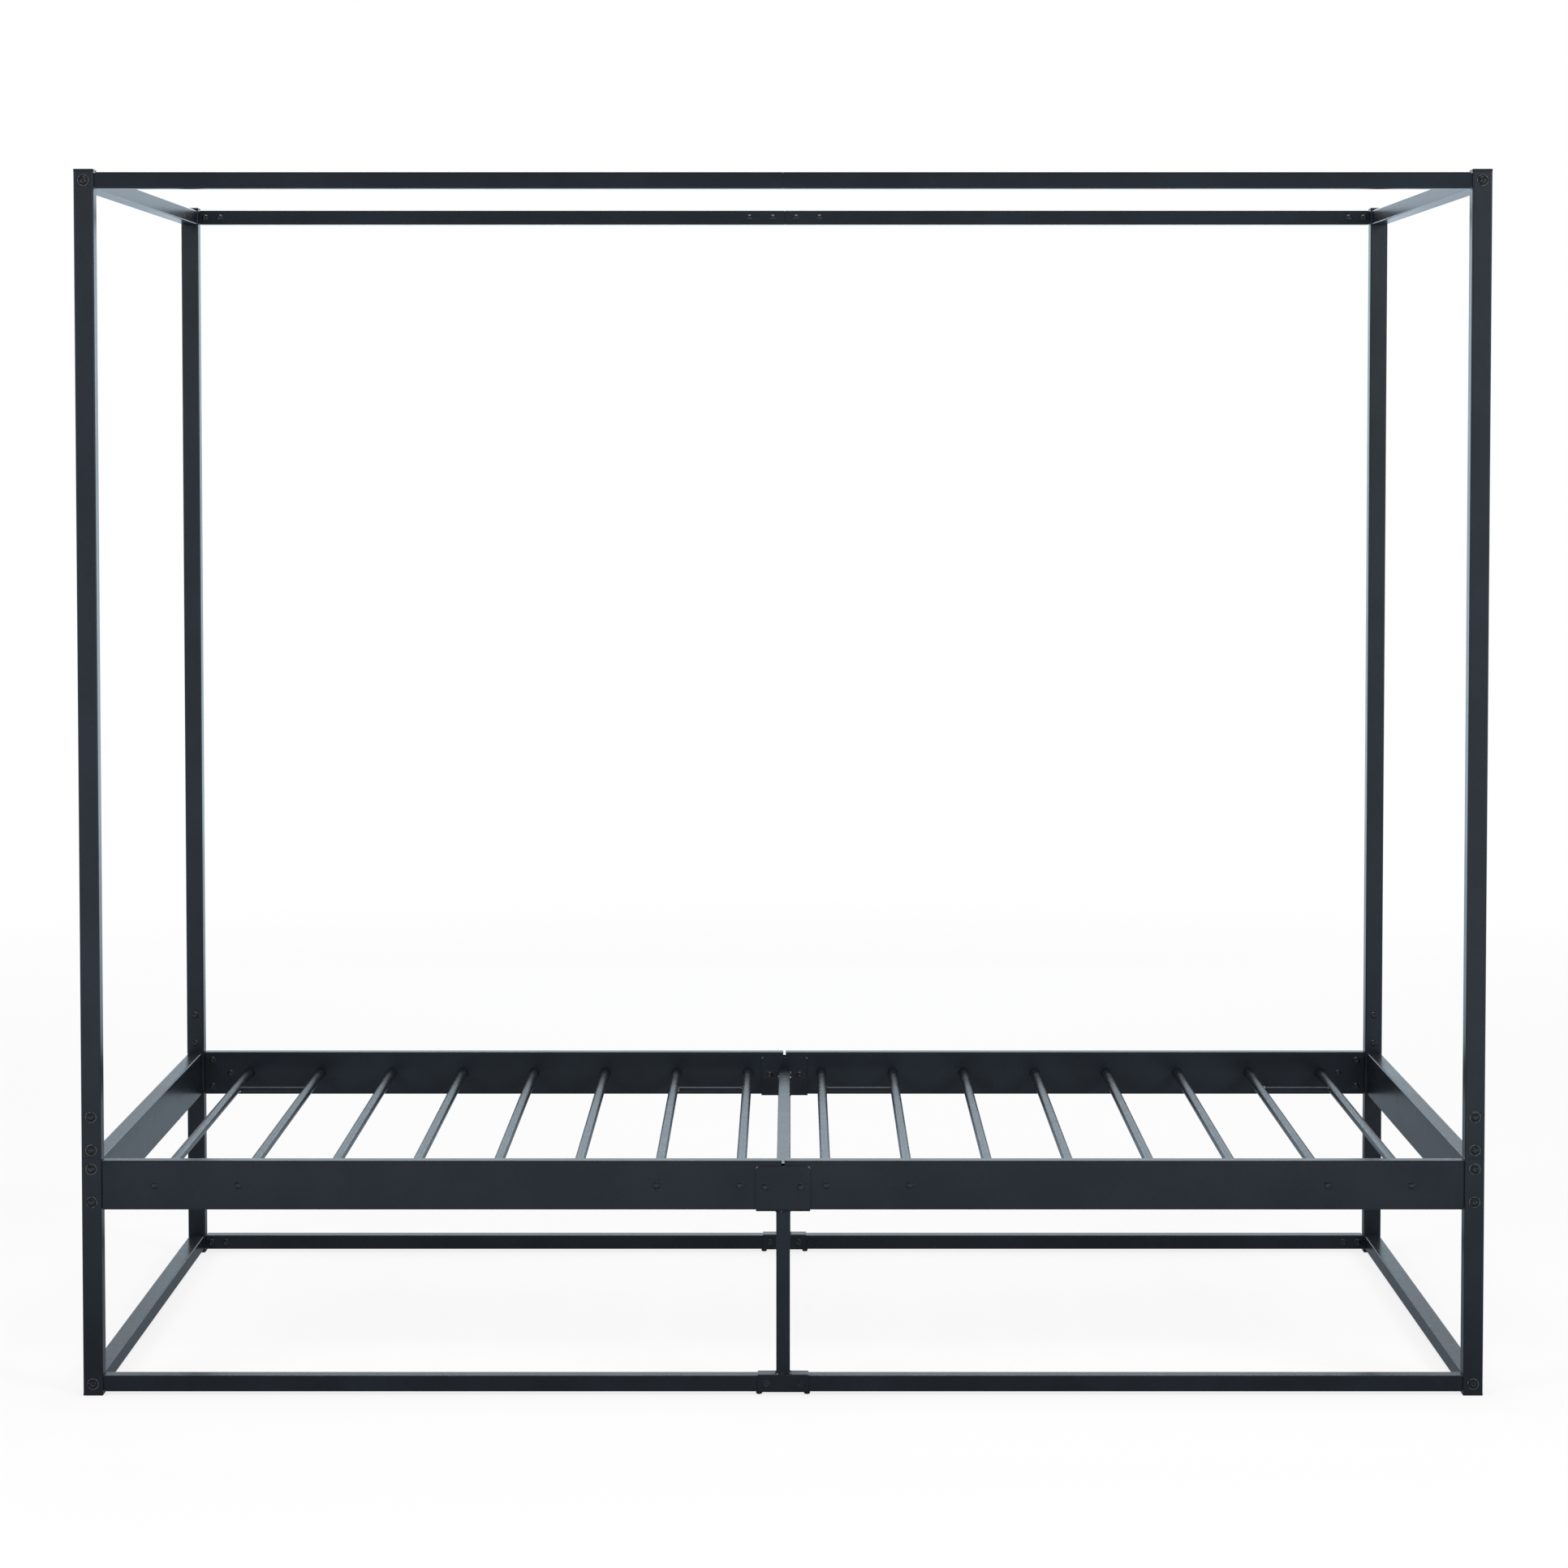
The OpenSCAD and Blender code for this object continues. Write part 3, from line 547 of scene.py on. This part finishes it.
def sized_group(name, lengths):
    """A tree with a named input for each length in millimetres, a seed and a finish."""
    return new_group(
        "GeometryNodeTree",
        name,
        [("Geometry", "NodeSocketGeometry", None)]
        + [(label, "NodeSocketFloat", size * mm) for label, size in lengths.items()]
        + [("Seed", "NodeSocketInt", 7), ("Finish", "NodeSocketMaterial", None)],
        [("Geometry", "NodeSocketGeometry")],
    )


def make_button_tree():
    """Domed button heads with a hexagon socket, each on its own length of shank."""
    foot_round, shoulder_round, socket_round, drill_point = 0.2 * mm, 0.1 * mm, 0.25 * mm, 0.3 * mm
    socket_chamfer, head_crease, shank_crease = 1.2, 32, 40
    dome = ((0.975, 0.12), (0.90, 0.35), (0.80, 0.58), (0.69, 0.77), (0.58, 0.91), (0.52, 1.0))
    lengths = {
        "Head Diameter": 10.5,
        "Edge Height": 0.8,
        "Dome Rise": 2.05,
        "Socket Across Flats": 4.0,
        "Socket Depth": 2.0,
        "Shank Diameter": 6.0,
    }
    tree, given, out = sized_group("button_bolts", lengths)
    radius = calc(tree, "MULTIPLY", given["Head Diameter"], 0.5)
    flat = calc(tree, "MULTIPLY", given["Socket Across Flats"], 0.5)
    top = calc(tree, "ADD", given["Edge Height"], given["Dome Rise"])
    floor = calc(tree, "SUBTRACT", top, given["Socket Depth"])

    def near(value, factor, shift=0.0):
        return calc(tree, "MULTIPLY_ADD", value, factor, shift)

    def domed(share, rise):
        height = calc(tree, "MULTIPLY_ADD", given["Dome Rise"], rise, given["Edge Height"])
        return near(radius, share), height

    rings = [
        (0.0, 0.0),
        (near(radius, 1.0, -foot_round), 0.0),
        (radius, foot_round),
        (radius, near(given["Edge Height"], 1.0, -shoulder_round)),
        *(domed(share, rise) for share, rise in dome),
        (near(flat, socket_chamfer), top),
        (flat, near(top, 1.0, -socket_round)),
        (flat, floor),
        (0.0, near(floor, 1.0, -drill_point)),
    ]
    head = turned_part(tree, rings, segments=24, hex_rings=(11, 12), rim_rings=(3, 4, 10, 11))
    head = shaded_by_angle(tree, head, head_crease)
    shank_radius = calc(tree, "MULTIPLY", given["Shank Diameter"], 0.5)
    shank = add(
        tree,
        "GeometryNodeMeshCylinder",
        {"Vertices": 16, "Radius": shank_radius, "Depth": 1.0},
    ).outputs["Mesh"]
    hung = {"Geometry": shank, "Translation": (0, 0, -0.5)}
    shank = add(tree, "GeometryNodeTransform", hung).outputs[0]
    shank = shaded_by_angle(tree, shank, shank_crease)
    reach = add(tree, "GeometryNodeInputNamedAttribute", {"Name": "reach"}).outputs[0]
    longer = add(tree, "ShaderNodeCombineXYZ", {0: 1.0, 1: 1.0, 2: reach}).outputs[0]
    shanks = add(
        tree,
        "GeometryNodeScaleInstances",
        {"Instances": stood_on_points(tree, given, shank), "Scale": longer, "Local Space": True},
    ).outputs[0]
    both = add(tree, "GeometryNodeJoinGeometry")
    tree.links.new(stood_on_points(tree, given, head), both.inputs[0])
    tree.links.new(shanks, both.inputs[0])
    close_tree(tree, out, both.outputs[0], given["Finish"])
    return tree


def make_washer_tree():
    """Flat washers with rounded rims."""
    slope_share, crease = 0.3, 38
    lengths = {
        "Outer Diameter": 16.0,
        "Hole Diameter": 6.6,
        "Thickness": 1.2,
        "Rim": 0.5,
        "Worn Band": 1.3,
    }
    tree, given, out = sized_group("washers", lengths)
    outer = calc(tree, "MULTIPLY", given["Outer Diameter"], 0.5)
    hole = calc(tree, "MULTIPLY", given["Hole Diameter"], 0.5)
    thick, rim = given["Thickness"], given["Rim"]
    slope = calc(tree, "MULTIPLY", rim, slope_share)
    inner_rim = calc(tree, "ADD", hole, rim)
    outer_rim = calc(tree, "SUBTRACT", outer, rim)
    outer_slope = calc(tree, "SUBTRACT", outer, slope)
    rings = [
        (hole, rim),
        (inner_rim, 0.0),
        (outer_rim, 0.0),
        (outer_slope, slope),
        (outer, rim),
        (outer, calc(tree, "SUBTRACT", thick, rim)),
        (outer_slope, calc(tree, "SUBTRACT", thick, slope)),
        (outer_rim, thick),
        (calc(tree, "SUBTRACT", outer, given["Worn Band"]), thick),
        (inner_rim, thick),
        (hole, calc(tree, "SUBTRACT", thick, rim)),
        (hole, rim),
    ]
    ring = turned_part(tree, rings, segments=32, rim_rings=(5, 6, 7))
    ring = shaded_by_angle(tree, ring, crease)
    close_tree(tree, out, stood_on_points(tree, given, ring), given["Finish"])
    return tree


def make_bead_tree():
    """Rippled weld beads along paths."""
    points_per_ripple, unevenness = 5.0, 0.1
    tree, given, out = new_group(
        "GeometryNodeTree",
        "weld_beads",
        [
            ("Geometry", "NodeSocketGeometry", None),
            ("Bead Radius", "NodeSocketFloat", 1.4 * mm),
            ("Ripple Pitch", "NodeSocketFloat", 1.3 * mm),
            ("Ripple Depth", "NodeSocketFloat", 0.16),
            ("Seed", "NodeSocketInt", 7),
            ("Finish", "NodeSocketMaterial", None),
        ],
        [("Geometry", "NodeSocketGeometry")],
    )
    path = add(tree, "GeometryNodeMeshToCurve", {"Mesh": given["Geometry"]}).outputs[0]
    step = calc(tree, "DIVIDE", given["Ripple Pitch"], points_per_ripple)
    spaced = {"Curve": path, "Length": step}
    path = add(tree, "GeometryNodeResampleCurve", spaced, mode="LENGTH").outputs[0]
    along = add(tree, "GeometryNodeSplineParameter").outputs["Length"]
    turns = calc(tree, "MULTIPLY", calc(tree, "DIVIDE", along, given["Ripple Pitch"]), math.tau)
    wave = calc(tree, "MULTIPLY", calc(tree, "SINE", turns), given["Ripple Depth"])
    chance = add(
        tree,
        "FunctionNodeRandomValue",
        {2: -unevenness, 3: unevenness, "Seed": given["Seed"]},
    ).outputs[1]
    swell = calc(tree, "ADD", calc(tree, "ADD", 1.0, wave), chance)
    thick = calc(tree, "MULTIPLY", swell, given["Bead Radius"])
    round_shape = {"Resolution": 8, "Radius": 1.0}
    section = add(tree, "GeometryNodeCurvePrimitiveCircle", round_shape).outputs[0]
    bead = add(
        tree,
        "GeometryNodeCurveToMesh",
        {"Curve": path, "Profile Curve": section, "Scale": thick, "Fill Caps": True},
    )
    smooth = add(tree, "GeometryNodeSetShadeSmooth", {"Geometry": bead.outputs[0]}).outputs[0]
    close_tree(tree, out, smooth, given["Finish"])
    return tree


def grown(name, tree, mesh, slot_name, replaced=(), finish=None, **sizes):
    """A piece that a node tree grows on the points or paths of mesh."""
    finish = finish or finishes[slot_name]
    piece = bpy.data.objects.new(name, mesh)
    scene.collection.objects.link(piece)
    grow = piece.modifiers.new("grow", "NODES")
    grow.node_group = tree
    sizes["Finish"] = finish
    for item in tree.interface.items_tree:
        label = item.name.replace(" ", "_")
        if item.in_out == "INPUT" and label in sizes:
            grow[item.identifier] = sizes[label]
    applied(piece)
    place_piece(piece, slot_name, replaced, finish)


def loose_parts(name):
    """The vertices of each separate solid in a CAD node, as arrays."""
    bm = bmesh.new()
    bm.from_mesh(nodes[name].data)
    bmesh.ops.remove_doubles(bm, verts=bm.verts[:], dist=weld_distance)
    left, parts = set(bm.verts), []
    while left:
        grow, part = [left.pop()], []
        while grow:
            vertex = grow.pop()
            part.append(tuple(vertex.co))
            for edge in vertex.link_edges:
                other = edge.other_vert(vertex)
                if other in left:
                    left.remove(other)
                    grow.append(other)
        parts.append(np.array(part))
    bm.free()
    return sorted(parts, key=lambda part: tuple(np.round(part.mean(axis=0), 4)))


def point_mesh(name, points, **values):
    """A mesh of single points with a number of each kind on every point."""
    mesh = bpy.data.meshes.new(name)
    mesh.from_pydata(points, [], [])
    for label, numbers in values.items():
        mesh.attributes.new(label, "FLOAT", "POINT").data.foreach_set("value", numbers)
    return mesh


def bolt_points(name):
    """Where each bolt of a node seats its head, which way it faces and how long its shank is."""
    points, facing, reach = [], [], []
    rim_band = 0.05 * mm
    for part in loose_parts(name):
        low, high = part.min(axis=0), part.max(axis=0)
        x, middle, z = (low + high) / 2
        off_axis = np.hypot(part[:, 0] - x, part[:, 2] - z)
        rim = part[off_axis > off_axis.max() - rim_band][:, 1]
        side = 1.0 if rim.mean() > middle else -1.0
        seat = rim.min() if side > 0 else rim.max()
        points.append((x, seat, z))
        facing.append(side)
        reach.append(abs(seat - (low[1] if side > 0 else high[1])))
    return point_mesh(name, points, facing=facing, reach=reach)


button_tree, washer_tree, bead_tree = make_button_tree(), make_washer_tree(), make_bead_tree()
barrel_diameter = 8.0 * mm
for seed, name in enumerate(("end_rail_bolts", "through_bolts", "slat_bolts", "rail_screws"), 1):
    grown(f"turned_{name}", button_tree, bolt_points(name), "black_hardware", (name,), Seed=seed)
grown(
    "turned_sleeve_nuts",
    button_tree,
    bolt_points("sleeve_nuts"),
    "black_hardware",
    ("sleeve_nuts",),
    Seed=9,
    Shank_Diameter=barrel_diameter,
)


def washer_points():
    """Where each washer lies against its post, and which way it faces."""
    points, facing = [], []
    for part in loose_parts("washers"):
        x, y, z = (part.min(axis=0) + part.max(axis=0)) / 2
        side = math.copysign(1.0, y)
        points.append((x, side * np.abs(part[:, 1]).min(), z))
        facing.append(side)
    return point_mesh("washers", points, facing=facing)


grown(
    "rounded_washers",
    washer_tree,
    washer_points(),
    "black_hardware",
    ("washers",),
    finish=washer_steel,
    Seed=5,
)


def path_mesh(name, paths):
    """A mesh of lines: each path is its points and whether it closes on itself."""
    points, lines = [], []
    for path, closed in paths:
        first = len(points)
        points += [tuple(point) for point in path]
        lines += [(i, i + 1) for i in range(first, len(points) - 1)]
        if closed:
            lines.append((len(points) - 1, first))
    mesh = bpy.data.meshes.new(name)
    mesh.from_pydata(points, lines, [])
    return mesh


def square_loop(low, high, z, corner, steps=5):
    """A level square path with round corners round a square tube."""
    path = []
    outer = ((high[0], high[1]), (low[0], high[1]), (low[0], low[1]), (high[0], low[1]))
    for quarter, (x, y) in enumerate(outer):
        cx = x - math.copysign(corner, x - (low[0] + high[0]) / 2)
        cy = y - math.copysign(corner, y - (low[1] + high[1]) / 2)
        for i in range(steps + 1):
            angle = (quarter + i / steps) * math.pi / 2
            path.append((cx + corner * math.cos(angle), cy + corner * math.sin(angle), z))
    return path, True


def rod_loop(slat_x, y, z, side, rod_radius, slat_radius, steps=20):
    """A path where a rod meets a round slat from one side."""
    path = []
    for i in range(steps):
        angle = i * math.tau / steps
        rise = rod_radius * math.sin(angle)
        out = math.sqrt(slat_radius**2 - rise**2)
        path.append((slat_x + side * out, y + rod_radius * math.cos(angle), z + rise))
    return path, True


def leg_welds():
    """Beads under the clamp and on the sleeve, round each middle leg."""
    tube_corner = 1.8 * mm
    paths = []
    for side in ("front", "rear"):
        low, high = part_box(f"middle_leg_{side}")
        paths += [square_loop(low, high, z, tube_corner) for z in (low[2], high[2])]
    return path_mesh("leg_welds", paths)


def flange_welds():
    """Beads up both sides of the cross bar where it meets its flanges."""
    flange_thickness, corner_gap = 3.0 * mm, 1.5 * mm
    low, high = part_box("cross_bar")
    half = (high[2] - low[2]) / 2
    paths = []
    for y in (low[1] + flange_thickness, high[1] - flange_thickness):
        for x in (-half, half):
            ends = (low[2] + corner_gap, high[2] - corner_gap)
            paths.append(([(x, y, z) for z in np.linspace(*ends, 6)], False))
    return path_mesh("flange_welds", paths)


def rod_welds():
    """Beads round both ends of every tie rod."""
    tie_from_rail, rod_radius, slat_radius = 166 * mm, 3.6 * mm, 7.5 * mm
    inner_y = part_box("side_rail_rear_right")[0][1]
    paths = []
    for pair in range(1, 5):
        low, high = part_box(f"slat_pair_{pair}")
        z = (low[2] + high[2]) / 2
        for y in (tie_from_rail - inner_y, inner_y - tie_from_rail):
            paths.append(rod_loop(low[0] + slat_radius, y, z, 1.0, rod_radius, slat_radius))
            paths.append(rod_loop(high[0] - slat_radius, y, z, -1.0, rod_radius, slat_radius))
    return path_mesh("rod_welds", paths)


for name, seams, slot_name, bead_radius, seed in (
    ("leg_weld_beads", leg_welds(), "powder_coat", 1.3 * mm, 11),
    ("flange_weld_beads", flange_welds(), "slat_coat", 1.5 * mm, 12),
    ("rod_weld_beads", rod_welds(), "slat_coat", 1.1 * mm, 13),
):
    sizes = {"Bead_Radius": bead_radius, "Seed": seed}
    grown(name, bead_tree, seams, slot_name, finish=weld_coat, **sizes)

# The CAD nodes that stay as they are take the finish of their slot too.
for made in nodes.values():
    made.data.materials[0] = finishes[made.data.materials[0].name]


# ---- Camera, floor and light ----


plain_white, mirror_tint = (1.0, 1.0, 1.0, 1.0), (0.74, 0.89, 1.03, 1.0)


def make_camera():
    """Camera in front of the bed at about chest height, tipped slightly down."""
    place, tipped_down = (0.014, -6.2707, 1.3698), 2.766
    data = bpy.data.cameras.new("camera")
    data.lens = 94.0
    data.shift_x, data.shift_y = -0.0057, -0.10
    camera = bpy.data.objects.new("camera", data)
    camera.location = place
    camera.rotation_euler = (math.radians(90.0 - tipped_down), 0.0, 0.0)
    scene.collection.objects.link(camera)
    scene.camera = camera


def make_floor():
    """Pale round floor that keeps the bed's soft shadow and fades into the white background.

    In the bed's gloss it glows a cool grey, with painted shade darkest under the bed and lighter
    away.
    """
    radius, paint, fade_band, shadow_share = 14.0, (0.9, 0.9, 0.9), (2.2, 6.0), 0.18
    under_glow, far_glow, far_band = 0.27, 0.73, (1.0, 4.2)
    front_reach, front_band = 1.1, (0.1, -0.4)
    rear_glow, rear_band, rear_side_band = 0.16, (0.6, 1.0), (0.75, 0.35)
    mesh = bpy.data.meshes.new("floor")
    bm = bmesh.new()
    bmesh.ops.create_circle(bm, cap_ends=True, radius=radius, segments=96)
    bm.to_mesh(mesh)
    bm.free()
    floor = bpy.data.objects.new("floor", mesh)
    scene.collection.objects.link(floor)
    made = bpy.data.materials.new("pale_floor")
    made.use_nodes = True
    tree = made.node_tree
    tree.nodes.clear()
    place = add(tree, "ShaderNodeTexCoord").outputs["Object"]
    away = add(tree, "ShaderNodeVectorMath", {0: place}, operation="LENGTH").outputs["Value"]
    near = calc(tree, "SUBTRACT", 1.0, smooth_step(tree, away, *fade_band))
    shaded = add(tree, "ShaderNodeBsdfDiffuse", {"Color": shade_of(paint)}).outputs[0]
    white = add(tree, "ShaderNodeEmission", {"Color": plain_white, "Strength": 1.0}).outputs[0]
    share = calc(tree, "MULTIPLY", near, shadow_share)
    seen = mix_shader(tree, share, white, shaded)
    across = add(tree, "ShaderNodeSeparateXYZ", {0: place}).outputs
    # Painted shade in the floor's reflections: its glow is darkest under and next to the bed.
    beside = [
        calc(tree, "MAXIMUM", calc(tree, "SUBTRACT", calc(tree, "ABSOLUTE", along), half), 0.0)
        for along, half in zip(across[:2], cad_high[:2])
    ]
    squares = (calc(tree, "POWER", side, 2.0) for side in beside)
    gap = calc(tree, "SQRT", calc(tree, "ADD", *squares))
    front = smooth_step(tree, calc(tree, "ADD", across[1], cad_high[1]), *front_band)
    gap = calc(tree, "MULTIPLY_ADD", front, front_reach, gap)
    rear = smooth_step(tree, across[1], *rear_band)
    behind = calc(tree, "MULTIPLY", rear, smooth_step(tree, across[0], *rear_side_band))
    behind = calc(tree, "MULTIPLY_ADD", behind, rear_glow, under_glow)
    around = calc(tree, "MULTIPLY_ADD", smooth_step(tree, gap, *far_band), far_glow, under_glow)
    glow = {"Color": mirror_tint, "Strength": calc(tree, "MAXIMUM", behind, around)}
    mirrored = add(tree, "ShaderNodeEmission", glow).outputs[0]
    path = add(tree, "ShaderNodeLightPath").outputs
    mixed = mix_shader(tree, path["Is Glossy Ray"], shaded, mirrored)
    mixed = mix_shader(tree, path["Is Camera Ray"], mixed, seen)
    add(tree, "ShaderNodeOutputMaterial", {"Surface": mixed})
    mesh.materials.append(made)


def softbox(name, place, size, power, colour=(1.0, 1.0, 1.0)):
    """A rectangular softbox that points at the middle of the bed."""
    bed_middle = Vector((0.0, 0.0, 0.9))
    data = bpy.data.lights.new(name, "AREA")
    data.shape, data.size, data.size_y, data.energy = "RECTANGLE", size[0], size[1], power
    data.color = colour
    lamp = bpy.data.objects.new(name, data)
    lamp.location = place
    lamp.rotation_euler = (bed_middle - Vector(place)).to_track_quat("-Z", "Y").to_euler()
    scene.collection.objects.link(lamp)
    return lamp


def make_front_softboxes():
    """Two front softboxes, whose reflections show only in fasteners, welds and upright tubes.

    In the level tops of the rails they would shine white from behind, so each one has a twin
    that leaves no other trace than its reflection in those pieces.
    """
    tubes = ("coated_leg", "coated_middle_leg", "coated_post_front", "coated_post_rear")
    name_starts, name_ends = (*tubes, "turned_"), ("_washers", "_weld_beads")
    size = (2.0, 1.5)
    glossy_pieces = bpy.data.collections.new("glossy_pieces")
    for made in scene.objects:
        if made.name.startswith(name_starts) or made.name.endswith(name_ends):
            glossy_pieces.objects.link(made)
    for side, across, power in (("left", -3.4, 118.0), ("right", 3.4, 152.0)):
        place = (across, -3.9, 2.7)
        softbox(f"softbox_{side}", place, size, power).visible_glossy = False
        twin = softbox(f"glint_{side}", place, size, power)
        twin.visible_diffuse = False
        twin.light_linking.receiver_collection = glossy_pieces


def make_world():
    """White studio whose reflections darken upwards and towards the front, where its walls end."""
    lit_strength, turn_band = 0.32, (-0.2, 0.2)
    rear_glow, rear_fall, rear_band = 1.0, -0.82, (0.165, 0.24)
    ahead_glow, ahead_fall, ahead_band = 0.56, -0.43, (0.04, 0.22)
    right_gain, right_band = 0.6, (-0.05, 0.22)
    world = bpy.data.worlds.new("studio")
    world.use_nodes = True
    scene.world = world
    tree = world.node_tree
    tree.nodes.clear()
    path = add(tree, "ShaderNodeLightPath").outputs
    seen = calc(tree, "MAXIMUM", path["Is Camera Ray"], path["Is Glossy Ray"])
    seen = calc(tree, "MAXIMUM", seen, path["Is Transmission Ray"])
    way = add(tree, "ShaderNodeTexCoord").outputs["Generated"]
    right, back, up = add(tree, "ShaderNodeSeparateXYZ", {0: way}).outputs
    rear = calc(tree, "MULTIPLY_ADD", smooth_step(tree, up, *rear_band), rear_fall, rear_glow)
    ahead = calc(tree, "MULTIPLY_ADD", smooth_step(tree, up, *ahead_band), ahead_fall, ahead_glow)
    gain = calc(tree, "MULTIPLY_ADD", smooth_step(tree, right, *right_band), right_gain, 1.0)
    ahead = calc(tree, "MULTIPLY", ahead, gain)
    behind = smooth_step(tree, back, *turn_band)
    rear_part = calc(tree, "MULTIPLY", rear, behind)
    ahead_part = calc(tree, "MULTIPLY", ahead, calc(tree, "SUBTRACT", 1.0, behind))
    lit, white, cool = (
        add(tree, "ShaderNodeBackground", {"Color": colour, "Strength": strength}).outputs[0]
        for colour, strength in (
            (plain_white, lit_strength),
            (plain_white, 1.0),
            (mirror_tint, calc(tree, "ADD", rear_part, ahead_part)),
        )
    )
    shown = mix_shader(tree, path["Is Glossy Ray"], white, cool)
    add(tree, "ShaderNodeOutputWorld", {"Surface": mix_shader(tree, seen, lit, shown)})


make_camera()
make_floor()
make_world()
make_front_softboxes()
softbox("softbox_rear", (0.0, 4.2, 2.9), (5.0, 1.6), 60.0)
softbox("softbox_low_rear", (0.0, 4.2, 1.1), (3.2, 1.6), 7.0, (0.72, 0.89, 1.0))
softbox("softbox_top", (0.0, 0.0, 3.8), (2.6, 1.6), 45.0)
scene.view_settings.view_transform = "Standard"
